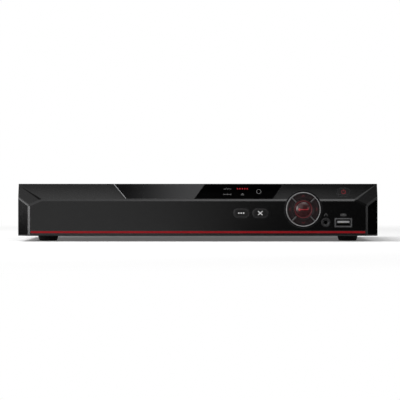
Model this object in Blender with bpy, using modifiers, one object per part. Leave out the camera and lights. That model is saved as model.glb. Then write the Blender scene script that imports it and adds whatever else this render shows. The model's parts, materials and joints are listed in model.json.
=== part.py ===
"""A low, wide desktop video recorder, built piece by piece as it comes apart on a bench.

Metres, +Z up, the front faces -Y. Pieces are laid out on a bench frame first: x = 0 in the middle,
y = 0 on the front face, z = 0 at the bezel's lower edge. One empty then carries the bench frame to
its place, so that the origin is under the middle of the recorder, on the floor.
"""

import math

import bmesh
import bpy
from mathutils import Matrix, Vector

MM = 0.001

# Clearances
GAP = 0.3 * MM  # between pieces that seat on or pass through each other
OVERLAP = 0.5 * MM  # how far fused shapes reach into each other
REACH = 4 * MM  # how far a cutter passes the wall it cuts

# Bezel: the face, the band that leans back above it, the side strips and the corner facets
FACE_W = 325 * MM
FACE_H = 47 * MM
BAND_H = 14.5 * MM  # height of the band, from the ridge to the top edge
BAND_BACK = 16.3 * MM  # how far the band's top edge lies behind the face
SIDE_W = 10 * MM  # width of a side strip, seen from the front
SIDE_BACK = 8 * MM
FACET_W = 21.2 * MM  # from the recorder's side to the inner end of a corner facet
FACET_DROP = 5 * MM  # from the ridge to the lower end of a corner facet
BEZEL_WALL = 2.2 * MM
EDGE_CHAMFER = 1.1 * MM
BEZEL_BEHIND_BOARD = 0.8 * MM

# Panels let into the band, and the red trim let into the face
PANEL_RISE = 1.35 * MM  # from the ridge to the panels' lower edge, along the band
PANEL_SINK = 0.9 * MM
PANEL_PROUD = 0.3 * MM
WINDOW_W = 70.3 * MM  # along its lower edge
WINDOW_SLANT = 10 * MM
WINDOW_TO_RING = 12.2 * MM
WINDOW_RIM = 2.2 * MM  # ledge that the status window is glued to
GLOSS_W = 62.1 * MM
GLOSS_SLANT = 11.3 * MM
TRIM_Z = 3.4 * MM
TRIM_H = 1.9 * MM
TRIM_SINK = 0.9 * MM
TRIM_PROUD = 0.25 * MM
TRIM_END = 1.6 * MM  # from the trim's end to the side strip
TRIM_ROUND = 0.2 * MM

# Controls, placed from the right-hand end of the face
USB_FROM_RIGHT = 21.3 * MM
USB_Z = 11.95 * MM
JACK_FROM_USB = 15.8 * MM
JACK_Z = 12.2 * MM
RING_TO_JACK = 4.7 * MM  # from the keypad's ring to the jack's middle
PAD_BELOW_RIDGE = 8.5 * MM
POWER_FROM_RIGHT = 20.8 * MM
RING_TO_ESCAPE = 23.2 * MM
FUNCTION_FROM_ESCAPE = 17.2 * MM
SMALL_KEY_BELOW_RIDGE = 11.9 * MM
SMALL_KEY_W = 13.5 * MM
SMALL_KEY_H = 7.6 * MM
POWER_KEY_W = 12 * MM
POWER_KEY_H = 6.9 * MM
KEY_PROUD = 0.6 * MM
KEY_ROUND = 0.35 * MM
KEY_FLANGE = 1.2 * MM  # how far a key's flange reaches past its cap
KEY_FLANGE_T = 1.2 * MM
KEY_TRAVEL = 0.6 * MM
KEY_SPARE = 0.1 * MM  # left between a key that is fully pressed and its switch
KEY_STEM_R = 1.6 * MM

# Round keypad
RING_R = 15.6 * MM  # outer radius of the bright ring
RING_W = 0.9 * MM
RING_PROUD = 0.9 * MM
COLLAR_WALL = 1.1 * MM
COLLAR_PROUD = 0.4 * MM
LEDGE_W = 0.9 * MM  # ledge inside the collar that carries the bright frame
LEDGE_T = 1.2 * MM
HUB_WALL = 0.6 * MM
SPOKE_W = 0.7 * MM
SPOKE_PROUD = 0.2 * MM
LIGHT_RING_W = 0.9 * MM
LIGHT_RING_D = 6 * MM
LIGHT_RING_PROUD = 0.6 * MM
ENTER_R = 6.9 * MM
ENTER_DOME = 1.4 * MM  # how far the dome stands out of the face
ENTER_EDGE = 0.4 * MM  # how far the dome's edge lies behind the face
DOME_STEPS = 4

# Key board, which the bezel carries on posts
BOARD_T = 1.6 * MM
BOARD_MARGIN = 1.8 * MM  # from the board's edges to the bezel's inner walls
BOARD_PAST_LED = 12 * MM
POST_R = 2.5 * MM
POST_FROM_EDGE = 1 * MM
SWITCH_W = 6 * MM
SWITCH_BODY = 3.5 * MM
PLUNGER_R = 1.7 * MM
PLUNGER_H = 0.6 * MM
LED_W = 3 * MM
LED_H = 1.2 * MM
LED_PITCH_X = 13.6 * MM
LED_PITCH_Z = 5.1 * MM
LED_TO_RING = 52.8 * MM  # from the left-hand lamps to the keypad's ring
IR_TO_RING = 24.4 * MM
IR_W = 7 * MM
IR_H = 8 * MM
IR_D = 4.2 * MM
IR_LENS_R = 2.6 * MM
GUIDE_R = 1.2 * MM
GUIDE_T = 1.5 * MM
GUIDE_MARGIN = 2 * MM
HEADER_W = 14 * MM  # plug-in headers on both boards
HEADER_H = 6 * MM

# Front sockets
USB_W = 13.1 * MM
USB_H = 5.7 * MM
USB_WALL = 0.3 * MM
USB_FLANGE = 1.15 * MM
USB_FLANGE_T = 0.8 * MM
USB_PROUD = 0.2 * MM
USB_BAY = 11 * MM
TONGUE_W = 11.1 * MM
TONGUE_T = 1.84 * MM
TONGUE_DROP = 0.9 * MM  # from the shell's upper wall to the tongue
TONGUE_SET = 1 * MM  # how far the tongue's tip lies inside the mouth
JACK_R = 3.9 * MM
JACK_PROUD = 0.3 * MM
JACK_BORE_R = 1.8 * MM
JACK_BORE = 14 * MM
JACK_CUP_R = 2.7 * MM
JACK_CUP = 0.8 * MM
JACK_BODY_R = 4.9 * MM

# Case: a steel pan with a rear panel, and a steel cover folded over it
CASE_BACK = 245 * MM  # front face to the outside of the rear panel
SHEET = 1 * MM
COVER_INSET = 0.5 * MM  # from the bezel's top edge to the cover
COVER_SIDE_INSET = 1.9 * MM  # from the bezel's side to the cover, more than a screw's head
COVER_RISE = 1.2 * MM
PAN_RISE = 0.5 * MM  # from the bezel's lower edge to the pan
FLANGE_H = 14 * MM  # side flanges of the pan
CORNER_RETURN = 4 * MM  # full-height strip of flange left at the pan's corners
BEND_R = 1.6 * MM
HATCH_W = 40 * MM  # opening in the pan's front wall for the panel cable
HATCH_H = 22 * MM
SLOT_W = 2.2 * MM
SLOT_H = 26 * MM
SLOT_PITCH = 4.6 * MM
SLOT_COUNT = 9
VENT_FROM_FRONT = 70 * MM  # middle of the front slots, which the fan blows through
VENT_FROM_BACK = 55 * MM
SCREW_FROM_FRONT = 28 * MM
SCREW_FROM_BACK = 17 * MM
SCREW_HEAD_R = 2.9 * MM
SCREW_HEAD_H = 1.3 * MM
SCREW_ROUND = 0.6 * MM
SCREW_SHANK_R = 1.5 * MM
SCREW_SHANK = 4 * MM
FOOT_H = 5 * MM
FOOT_R = 9.5 * MM
FOOT_TAPER = 1.2 * MM
FOOT_EDGE = 0.8 * MM
FOOT_FROM_SIDE = 22 * MM
FOOT_FROM_END = 22 * MM

# Inside
STANDOFF_H = 6.2 * MM
STANDOFF_R = 3 * MM
STANDOFF_INSET = 6 * MM
MAIN_T = 1.6 * MM
MAIN_BEHIND_DRIVE = 12 * MM
MAIN_FROM_PANEL = 0.6 * MM
MAIN_SIDE = 2 * MM  # how far the main board reaches past its end sockets
HEADER_INSET = 8 * MM  # from the main board's front edge to its headers
HEADER_FROM_RIGHT = 20 * MM  # from the main board's right edge to the panel cable's header
HEADER_PITCH = 20 * MM
CHIP_T = 1.6 * MM
CHIP_W = 28 * MM
MEMORY_L = 13 * MM
MEMORY_W = 9 * MM
MEMORY_PITCH = 19 * MM
CAN_R = 4 * MM
CAN_H = 12 * MM
SINK_W = 36 * MM
SINK_H = 12 * MM
SINK_BASE = 3 * MM
SINK_FINS = 9
SINK_FIN_T = 1.4 * MM
DRIVE_L = 147 * MM
DRIVE_W = 101.6 * MM
DRIVE_H = 26.1 * MM
DRIVE_LID_INSET = 2.5 * MM
DRIVE_LID_T = 1.2 * MM
DRIVE_ROUND = 3 * MM
DRIVE_FROM_LEFT = 48 * MM
DRIVE_FROM_FRONT = 12 * MM
DRIVE_BOSS_H = 3.2 * MM
DRIVE_BOSS_R = 4 * MM
DRIVE_HOLES_X = 76.2 * MM
DRIVE_HOLES_Y = 92 * MM
CELL_R = 10 * MM
CELL_T = 3.2 * MM
CELL_WALL = 2 * MM
CELL_FLOOR = 1.2 * MM
FAN_W = 30 * MM
FAN_T = 8 * MM
FAN_BORE_R = 13.8 * MM
FAN_ROUND = 2.5 * MM
FAN_TIP_GAP = 0.6 * MM
FAN_HUB_R = 7.5 * MM
FAN_PLATE = 1.4 * MM
FAN_STRUT_W = 2 * MM
FAN_STRUT_INSET = 0.2 * MM  # a strut is this much thinner than the hub's plate, on either side
FAN_SHAFT_R = 1.2 * MM
FAN_BLADES = 7
FAN_BLADE_T = 0.8 * MM
FAN_CHORD = 5 * MM
FAN_PITCH = 35  # degrees
FAN_RISE = 4 * MM  # from the pan's floor to the fan
FAN_TAB = 3 * MM  # how far the pan's fan tab passes the fan
CABLE_R = 2.2 * MM
PLUG_L = 8 * MM
PLUG_W = 12 * MM
PLUG_H = 5 * MM
POWER_BOW = 6 * MM  # how far each drive cable bows out past its plug
DATA_BOW = 18 * MM
PANEL_FROM_DATA = 20 * MM  # from the data cable's bow to the panel cable
POWER_PLUG_Y = 61 * MM  # the drive's plugs, from its front
DATA_PLUG_Y = 25 * MM

# Rear sockets: their own sizes, spread along the rear panel with even spaces between them
VIDEO_COLUMNS = 4
VIDEO_SPACE = 4.4 * MM
VIDEO_BLOCK = 14.6 * MM
VIDEO_BLOCK_D = 16 * MM
VIDEO_R = 4.8 * MM
VIDEO_REACH = 12.5 * MM
VIDEO_BORE_R = 4.05 * MM
VIDEO_CORE_R = 2.2 * MM
VIDEO_CORE = 6 * MM
VIDEO_NUT_R = 6.9 * MM
VIDEO_NUT_H = 2 * MM
VIDEO_NECK_R = 6 * MM
VIDEO_LUG_R = 1 * MM
VIDEO_LUG = 0.9 * MM
VIDEO_LUG_FROM_TIP = 2.6 * MM
ROW_UNDER_TOP = 1.7 * MM  # from the upper sockets' blocks to the pan's top
AUDIO_BLOCK = 12 * MM
AUDIO_BLOCK_D = 11 * MM
AUDIO_R = 4.15 * MM
AUDIO_REACH = 9.5 * MM
AUDIO_BORE_R = 1.6 * MM
AUDIO_COLLAR_R = 5.6 * MM
AUDIO_COLLAR_H = 3 * MM
AUDIO_NECK_R = 4.8 * MM
TERMINAL_WAYS = 4
TERMINAL_PITCH = 3.8 * MM
TERMINAL_WALL = 1 * MM
TERMINAL_H = 10.5 * MM
TERMINAL_D = 10 * MM
TERMINAL_REACH = 7 * MM
TERMINAL_HOLE = 2.6 * MM
TERMINAL_HOLE_D = 5 * MM
ANALOGUE_W = 31 * MM
ANALOGUE_H = 12.5 * MM
ANALOGUE_D = 11 * MM
ANALOGUE_SHELL_W = 16.9 * MM
ANALOGUE_SHELL_H = 8.3 * MM
ANALOGUE_SHELL_TAPER = 1.5 * MM
ANALOGUE_SHELL_REACH = 5.8 * MM
ANALOGUE_ROUND = 1.8 * MM
ANALOGUE_NUTS = 25 * MM
ANALOGUE_NUT_R = 2.9 * MM
ANALOGUE_NUT_REACH = 4.6 * MM
DIGITAL_W = 15 * MM
DIGITAL_H = 5.9 * MM
DIGITAL_D = 12 * MM
DIGITAL_STEP = 2.3 * MM  # how far the lower corners are cut in
DIGITAL_WALL = 0.5 * MM
DIGITAL_BAY = 9 * MM
DIGITAL_TONGUE_W = 10.2 * MM
DIGITAL_TONGUE_T = 1.3 * MM
REAR_USB_D = 14 * MM
SOCKET_PROUD = 0.6 * MM  # how far the flat sockets stand out of the rear panel
LAN_W = 16 * MM
LAN_H = 13.6 * MM
LAN_D = 21 * MM
LAN_BAY_W = 11.8 * MM
LAN_BAY_H = 7.2 * MM
LAN_BAY_D = 13 * MM
LAN_BAY_RISE = 1 * MM  # how far the bay lies above the block's middle
LAN_LATCH_W = 6 * MM
LAN_LATCH_H = 2.4 * MM
INLET_W = 11 * MM
INLET_H = 11 * MM
INLET_D = 13 * MM
INLET_R = 4.6 * MM
INLET_REACH = 1 * MM
INLET_BORE_R = 3.2 * MM
INLET_BORE = 9 * MM
INLET_PIN_R = 1 * MM
INLET_PIN_SET = 1.5 * MM
ROCKER_W = 16.4 * MM
ROCKER_H = 10.4 * MM
ROCKER_TILT = 11  # degrees to either side
ROCKER_TOP = 22  # degrees, upper end of the rocker's round ends
ROCKER_BOTTOM = -15
ROCKER_VALLEY = 1.6 * MM
ROCKER_PIVOT = 0.8 * MM  # how far the pivot lies outside the rear panel
ROCKER_PIN_R = 1.1 * MM
ROCKER_PIN = 0.8 * MM
SWITCH_WALL = 1.6 * MM
SWITCH_RIM = 2.6 * MM
SWITCH_RIM_T = 1.6 * MM
SWITCH_RIM_ROUND = 1.4 * MM
SWITCH_BAY = 9 * MM
SWITCH_D = 14 * MM
SWITCH_Z = 20 * MM
EARTH_Z = 14 * MM
EARTH_HEAD_R = 3.6 * MM

# The bezel, worked out
RIDGE_Z = FACE_H - BAND_H
BAND_L = math.hypot(BAND_BACK, BAND_H)
BAND_ANGLE = math.atan2(BAND_H, BAND_BACK)
BAND_MID_Z = RIDGE_Z + BAND_H / 2
FACE_RIGHT = FACE_W / 2 - SIDE_W


def band_outside(z):
    """How far behind the face the band's outside lies, at a height."""
    return (z - RIDGE_Z) * BAND_BACK / BAND_H


def band_inside(z):
    """How far behind the face the band's inside lies, at a height."""
    return band_outside(z) + BEZEL_WALL * BAND_L / BAND_H


# Controls, worked out
USB_X = FACE_RIGHT - USB_FROM_RIGHT
JACK_X = USB_X - JACK_FROM_USB
PAD_X = JACK_X - RING_TO_JACK - RING_R
PAD_Z = RIDGE_Z - PAD_BELOW_RIDGE
PAD_LEFT = PAD_X - RING_R
POWER_X = FACE_RIGHT - POWER_FROM_RIGHT
POWER_Z = BAND_MID_Z
ESCAPE_X = PAD_LEFT - RING_TO_ESCAPE
FUNCTION_X = ESCAPE_X - FUNCTION_FROM_ESCAPE
SMALL_KEY_Z = RIDGE_Z - SMALL_KEY_BELOW_RIDGE
WINDOW_RIGHT = PAD_LEFT - WINDOW_TO_RING
WINDOW_LEFT = WINDOW_RIGHT - WINDOW_W
GLOSS_LEFT = WINDOW_LEFT - GLOSS_W
LED_X = PAD_LEFT - LED_TO_RING
IR_X = PAD_LEFT - IR_TO_RING
LEDS = [(LED_X + i * LED_PITCH_X, BAND_MID_Z + (j - 0.5) * LED_PITCH_Z) for i in (0, 1) for j in (0, 1)]

# Depths behind the face: the power key sets how far back the key board lies
POWER_FLANGE_Y = band_inside(POWER_Z + POWER_KEY_H / 2) + GAP
STEM_Y = POWER_FLANGE_Y + KEY_FLANGE_T  # where every key's stem ends at rest
PLUNGER_Y = STEM_Y + KEY_TRAVEL + KEY_SPARE
BOARD_Y = PLUNGER_Y + PLUNGER_H + SWITCH_BODY
BEZEL_D = BOARD_Y + BOARD_T + BEZEL_BEHIND_BOARD

# Keypad, worked out from its middle outwards, and its depths
LIGHT_RING_IN = ENTER_R + GAP
LIGHT_RING_OUT = LIGHT_RING_IN + LIGHT_RING_W
HUB_IN = LIGHT_RING_OUT + GAP
HUB_R = HUB_IN + HUB_WALL
KEY_R_IN = HUB_R + GAP
KEY_R_OUT = RING_R - RING_W - GAP
KEY_R_MID = (KEY_R_IN + KEY_R_OUT) / 2
BORE_R = RING_R + GAP
COLLAR_R = BORE_R + COLLAR_WALL
COLLAR_BACK = band_inside(PAD_Z + COLLAR_R)
LEDGE_Y = COLLAR_BACK - LEDGE_T
RING_BACK = LEDGE_Y - GAP
ARROWS = {"right_key": 0, "up_key": 90, "left_key": 180, "down_key": 270}

# Case, worked out
COVER_W = FACE_W / 2 - COVER_SIDE_INSET  # half widths
PAN_W = COVER_W - SHEET - GAP
INSIDE_W = PAN_W - SHEET
PAN_FRONT = BEZEL_D + GAP
FLOOR_Z = PAN_RISE + SHEET
COVER_TOP = FACE_H - COVER_INSET
PAN_TOP = COVER_TOP - SHEET - GAP
PANEL_INSIDE = CASE_BACK - SHEET
VENT_Z = (COVER_RISE + COVER_TOP) / 2
VENT_FRONT_Y = PAN_FRONT + VENT_FROM_FRONT
VENT_BACK_Y = CASE_BACK - VENT_FROM_BACK
COVER_SCREW_Z = PAN_RISE + FLANGE_H / 2
FAN_X = INSIDE_W - GAP - FAN_T / 2
FAN_Z = FLOOR_Z + FAN_RISE + FAN_W / 2
DRIVE_LEFT = DRIVE_FROM_LEFT - PAN_W
DRIVE_RIGHT = DRIVE_LEFT + DRIVE_L
DRIVE_FRONT = PAN_FRONT + DRIVE_FROM_FRONT
DRIVE_Z = FLOOR_Z + DRIVE_BOSS_H + GAP
MAIN_FRONT = DRIVE_FRONT + DRIVE_W + MAIN_BEHIND_DRIVE
MAIN_BACK = PANEL_INSIDE - MAIN_FROM_PANEL
MAIN_Z = FLOOR_Z + STANDOFF_H + GAP
DECK_Z = MAIN_Z + MAIN_T + GAP  # what stands on the main board starts here
DRIVE_PLUG_END = DRIVE_RIGHT + GAP + PLUG_L
PANEL_CABLE_X = DRIVE_PLUG_END + DATA_BOW + PANEL_FROM_DATA
LOW_ROW_Z = DECK_Z + VIDEO_BLOCK / 2
HIGH_ROW_Z = PAN_TOP - ROW_UNDER_TOP - VIDEO_BLOCK / 2
CENTRE_Y = (ENTER_DOME - CASE_BACK - VIDEO_REACH) / 2

# Rear row, worked out: widths from left to right as seen from the front
TERMINAL_W = TERMINAL_WAYS * TERMINAL_PITCH + 2 * TERMINAL_WALL
SWITCH_RIM_W = ROCKER_W + 2 * (SWITCH_WALL + SWITCH_RIM)
REAR_ROW = {
    **{f"video_{i + 1}": VIDEO_BLOCK for i in range(VIDEO_COLUMNS)},
    "audio": AUDIO_BLOCK,
    "terminal": TERMINAL_W,
    "analogue_video": ANALOGUE_W,
    "digital_video": DIGITAL_W,
    "usb": USB_W,
    "lan": LAN_W,
    "inlet": INLET_W,
    "switch": SWITCH_RIM_W,
    "earth": 2 * EARTH_HEAD_R,
}


def spread(widths, low, high, close):
    """Middles of things of these widths in a row: the first few stand close, the rest are spread evenly."""
    tight = VIDEO_COLUMNS - 1
    space = (high - low - sum(widths) - tight * close) / (len(widths) - tight + 1)
    middles, edge = [], low + space
    for i, width in enumerate(widths):
        middles.append(edge + width / 2)
        edge += width + (close if i < tight else space)
    return middles


REAR_X = dict(zip(REAR_ROW, spread(list(REAR_ROW.values()), -INSIDE_W, INSIDE_W, VIDEO_SPACE)))
MAIN_LEFT = REAR_X["video_1"] - VIDEO_BLOCK / 2 - MAIN_SIDE
MAIN_RIGHT = REAR_X["inlet"] + INLET_W / 2 + MAIN_SIDE
SINK_X = REAR_X["digital_video"]
SINK_Y = (MAIN_FRONT + HEADER_INSET + HEADER_H + CASE_BACK - DIGITAL_D) / 2
CELL_X = REAR_X["audio"]
CELL_Y = SINK_Y

# name: colour, roughness, metallic
FINISHES = {
    "black_steel": ((0.020, 0.020, 0.021), 0.55, 0.0),
    "bezel_plastic": ((0.018, 0.018, 0.019), 0.32, 0.0),
    "window_black": ((0.003, 0.003, 0.004), 0.06, 0.0),
    "smoked_gloss": ((0.030, 0.030, 0.032), 0.10, 0.0),
    "red_trim": ((0.300, 0.008, 0.012), 0.30, 0.0),
    "red_light": ((0.350, 0.010, 0.014), 0.35, 0.0),
    "key_black": ((0.014, 0.014, 0.015), 0.40, 0.0),
    "bright_ring": ((0.450, 0.450, 0.460), 0.28, 0.9),
    "foot_rubber": ((0.015, 0.015, 0.015), 0.85, 0.0),
    "board_green": ((0.015, 0.110, 0.045), 0.50, 0.0),
    "bare_metal": ((0.560, 0.570, 0.580), 0.35, 1.0),
    "socket_black": ((0.012, 0.012, 0.013), 0.50, 0.0),
    "clear_guide": ((0.750, 0.780, 0.800), 0.20, 0.0),
    "sink_aluminium": ((0.500, 0.510, 0.520), 0.45, 1.0),
    "cable_black": ((0.016, 0.016, 0.017), 0.60, 0.0),
    "cable_red": ((0.300, 0.015, 0.012), 0.55, 0.0),
    "audio_white": ((0.700, 0.690, 0.660), 0.45, 0.0),
    "audio_red": ((0.420, 0.020, 0.020), 0.45, 0.0),
    "video_blue": ((0.020, 0.060, 0.300), 0.45, 0.0),
    "terminal_green": ((0.030, 0.260, 0.090), 0.50, 0.0),
}


# Scene and collections


def clear_scene():
    for obj in list(bpy.data.objects):
        bpy.data.objects.remove(obj, do_unlink=True)


def new_collection(name):
    collection = bpy.data.collections.new(name)
    bpy.context.scene.collection.children.link(collection)
    return collection


def new_material(name, colour, roughness, metallic):
    material = bpy.data.materials.new(name)
    material.use_nodes = True
    shader = material.node_tree.nodes["Principled BSDF"]
    shader.inputs["Base Color"].default_value = (*colour, 1.0)
    shader.inputs["Roughness"].default_value = roughness
    shader.inputs["Metallic"].default_value = metallic
    return material


clear_scene()
PARTS = new_collection("video_recorder")
TOOLS = new_collection("cutters")
MATERIALS = {name: new_material(name, *finish) for name, finish in FINISHES.items()}
BENCH = bpy.data.objects.new("bench", None)
BENCH.location = (0, CENTRE_Y, FOOT_H)
PARTS.objects.link(BENCH)


# Shapes: each of these returns a closed mesh in the bench frame


def to_mesh(bm):
    mesh = bpy.data.meshes.new("shape")
    bm.to_mesh(mesh)
    bm.free()
    return mesh


def from_mesh(mesh):
    bm = bmesh.new()
    bm.from_mesh(mesh)
    return bm


def evaluated(obj):
    """The mesh that an object's modifiers or curve settings make, welded; the object is removed."""
    bpy.context.scene.collection.objects.link(obj)
    graph = bpy.context.evaluated_depsgraph_get()
    mesh = bpy.data.meshes.new_from_object(obj.evaluated_get(graph))
    bpy.data.objects.remove(obj)
    bm = from_mesh(mesh)
    bmesh.ops.remove_doubles(bm, verts=bm.verts, dist=1e-6)
    return to_mesh(bm)


def box(low, high):
    low, high = Vector(low), Vector(high)
    bm = bmesh.new()
    size = Matrix.Diagonal((*(high - low), 1))
    bmesh.ops.create_cube(bm, size=1, matrix=Matrix.Translation((low + high) / 2) @ size)
    return to_mesh(bm)


def block(centre, size):
    centre, half = Vector(centre), Vector(size) / 2
    return box(centre - half, centre + half)


def rod(frame, radius, low, high, sides=16):
    """A cylinder along the frame's Z, from low to high."""
    bm = bmesh.new()
    place = frame @ Matrix.Translation((0, 0, (low + high) / 2))
    bmesh.ops.create_cone(
        bm, cap_ends=True, segments=sides, radius1=radius, radius2=radius, depth=high - low, matrix=place
    )
    return to_mesh(bm)


def prism(outlines, frame, low, high, rounding=0.0):
    """Flat outlines in the frame's XY plane, the first one outside, drawn out from low to high along Z."""
    curve = bpy.data.curves.new("outline", "CURVE")
    curve.dimensions = "2D"
    curve.fill_mode = "BOTH"
    for points in outlines:
        spline = curve.splines.new("POLY")
        spline.points.add(len(points) - 1)
        for target, (x, y) in zip(spline.points, points):
            target.co = (x, y, 0, 1)
        spline.use_cyclic_u = True
    curve.extrude = (high - low) / 2 - rounding
    curve.bevel_depth = rounding
    curve.bevel_resolution = 1
    curve.offset = -rounding
    mesh = evaluated(bpy.data.objects.new("outline", curve))
    mesh.transform(frame @ Matrix.Translation((0, 0, (low + high) / 2)))
    return mesh


def turned(profile, frame, steps=20, closed=False):
    """A profile of (radius, height) points, listed down its outer side, turned round the frame's Z."""
    mesh = bpy.data.meshes.new("profile")
    count = len(profile)
    edges = [(i, (i + 1) % count) for i in range(count if closed else count - 1)]
    mesh.from_pydata([(r, 0, h) for r, h in profile], edges, [])
    obj = bpy.data.objects.new("profile", mesh)
    screw = obj.modifiers.new("turn", "SCREW")
    screw.steps = screw.render_steps = steps
    screw.use_merge_vertices = True
    screw.merge_threshold = 1e-6
    mesh = evaluated(obj)
    mesh.transform(frame)
    return mesh


def ring(frame, outer, inner, low, high, steps=32):
    """A plain tube round the frame's Z."""
    return turned([(outer, high), (outer, low), (inner, low), (inner, high)], frame, steps, closed=True)


def joined(*meshes):
    """Several bodies that don't touch each other, in one mesh."""
    bm = bmesh.new()
    for mesh in meshes:
        bm.from_mesh(mesh)
    return to_mesh(bm)


def folded(bm, bend=0.0):
    """An open surface of flat faces, folded with a bend radius and thickened inwards to sheet metal."""
    obj = bpy.data.objects.new("sheet", to_mesh(bm))
    if bend:
        fold = obj.modifiers.new("bend", "BEVEL")
        fold.width = bend
        fold.segments = 2
        fold.limit_method = "ANGLE"
    wall = obj.modifiers.new("wall", "SOLIDIFY")
    wall.thickness = SHEET
    wall.offset = -1
    return evaluated(obj)


def tube(points, radius):
    """A round cable along a smooth curve through the points."""
    curve = bpy.data.curves.new("cable", "CURVE")
    curve.dimensions = "3D"
    curve.bevel_depth = radius
    curve.bevel_resolution = 1
    curve.use_fill_caps = True
    smooth = smooth_path([Vector(p) for p in points])
    spline = curve.splines.new("POLY")
    spline.points.add(len(smooth) - 1)
    for target, point in zip(spline.points, smooth):
        target.co = (*point, 1)
    return evaluated(bpy.data.objects.new("cable", curve))


def smooth_path(points, steps=3):
    """Catmull-Rom points: each stretch is bent so that it leaves and enters along its neighbours."""
    ends = [2 * points[0] - points[1], *points, 2 * points[-1] - points[-2]]
    path = []
    for a, b, c, d in zip(ends, ends[1:], ends[2:], ends[3:]):
        for i in range(steps):
            t = i / steps
            path.append(0.5 * (2 * b + (c - a) * t + (2 * a - 5 * b + 4 * c - d) * t**2
                               + (3 * b - a - 3 * c + d) * t**3))
    return [*path, points[-1]]


# Outlines: lists of (x, y) points


def arc(centre, radius, start, end, steps):
    """Points on an arc, angles in degrees."""
    angles = [math.radians(start + (end - start) * i / steps) for i in range(steps + 1)]
    return [(centre[0] + radius * math.cos(a), centre[1] + radius * math.sin(a)) for a in angles]


def rectangle(width, height, centre=(0, 0)):
    x, y = centre
    return [(x + sx * width / 2, y + sy * height / 2) for sx, sy in ((-1, -1), (1, -1), (1, 1), (-1, 1))]


def stadium(width, height, steps=5):
    """A pill: two half circles joined by straight runs."""
    r = height / 2
    half = width / 2 - r
    return arc((half, 0), r, -90, 90, steps) + arc((-half, 0), r, 90, 270, steps)


def rounded(width, height, radius, steps=3):
    half_w, half_h = width / 2 - radius, height / 2 - radius
    corners = ((half_w, half_h, 0), (-half_w, half_h, 90), (-half_w, -half_h, 180), (half_w, -half_h, 270))
    return [p for x, y, a in corners for p in arc((x, y), radius, a, a + 90, steps)]


def quarter_ring(inner, outer, middle, spoke_half, steps=5):
    """A quarter of a ring whose straight ends run beside the spokes, at an even distance from them."""
    def limit(radius):
        return 45 - math.degrees(math.asin(spoke_half / radius))
    far = arc((0, 0), outer, middle - limit(outer), middle + limit(outer), steps)
    near = arc((0, 0), inner, middle + limit(inner), middle - limit(inner), steps)
    return far + near


# Frames: where a piece's XY plane lies, with Z pointing out at the person looking at it


def front(x, z):
    """Seen from the front: X to the right, Y up, Z forwards; Z = 0 lies on the face."""
    return Matrix.Translation((x, 0, z)) @ Matrix.Rotation(math.pi / 2, 4, "X")


def rear(x, z):
    """Seen from behind: Y up, Z out of the rear panel; Z = 0 lies on the panel's outside."""
    turn = Matrix.Rotation(math.pi, 4, "Z") @ Matrix.Rotation(math.pi / 2, 4, "X")
    return Matrix.Translation((x, CASE_BACK, z)) @ turn


def band():
    """On the band: X to the right, Y up the slope from the ridge, Z out of the band."""
    return Matrix.Translation((0, 0, RIDGE_Z)) @ Matrix.Rotation(BAND_ANGLE, 4, "X")


def up(x, y, z=0.0):
    return Matrix.Translation((x, y, z))


def side(sign, y, z):
    """Seen from the right (1) or left (-1): Y to the back, Z out of the cover; Z = 0 in the middle."""
    return Matrix.Translation((0, y, z)) @ Matrix.Rotation(sign * math.pi / 2, 4, "Y")


# Objects

FUSE, CUT = "UNION", "DIFFERENCE"


def part(name, mesh, finish, steps=(), origin=(0, 0, 0)):
    """A named piece: a mesh, with what is then fused to it or cut out of it; origin is a joint's axis."""
    mesh.transform(Matrix.Translation(-Vector(origin)))
    mesh.name = name
    mesh.materials.append(MATERIALS[finish])
    mesh.shade_smooth()
    mesh.set_sharp_from_angle(angle=math.radians(32))
    obj = bpy.data.objects.new(name, mesh)
    obj.location = origin
    obj.parent = BENCH
    PARTS.objects.link(obj)
    for i, (operation, other) in enumerate(steps):
        tool = bpy.data.objects.new(f"{name}_step_{i}", other)
        tool.parent = BENCH
        tool.hide_render = True
        tool.display_type = "WIRE"
        TOOLS.objects.link(tool)
        modifier = obj.modifiers.new(tool.name, "BOOLEAN")
        modifier.operation = operation
        modifier.object = tool


# Keys: each of these makes a key and returns the hole that the bezel needs for it


def make_pill_key(name, x):
    """A pill-shaped key on the face: its cap, a flange behind the wall and a stem down to its switch."""
    place = front(x, SMALL_KEY_Z)
    flange_y = BEZEL_WALL + GAP
    flange_mid = -flange_y - KEY_FLANGE_T / 2
    cap = prism([stadium(SMALL_KEY_W, SMALL_KEY_H)], place, flange_mid, KEY_PROUD, KEY_ROUND)
    wide = stadium(SMALL_KEY_W + 2 * KEY_FLANGE, SMALL_KEY_H + 2 * KEY_FLANGE)
    flange = prism([wide], place, -flange_y - KEY_FLANGE_T, -flange_y)
    stem = rod(place, KEY_STEM_R, -STEM_Y, flange_mid, 12)
    part(name, cap, "key_black", [(FUSE, flange), (FUSE, stem)], (x, 0, SMALL_KEY_Z))
    hole = stadium(SMALL_KEY_W + 2 * GAP, SMALL_KEY_H + 2 * GAP)
    return prism([hole], place, -BEZEL_WALL - REACH, REACH)


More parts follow.
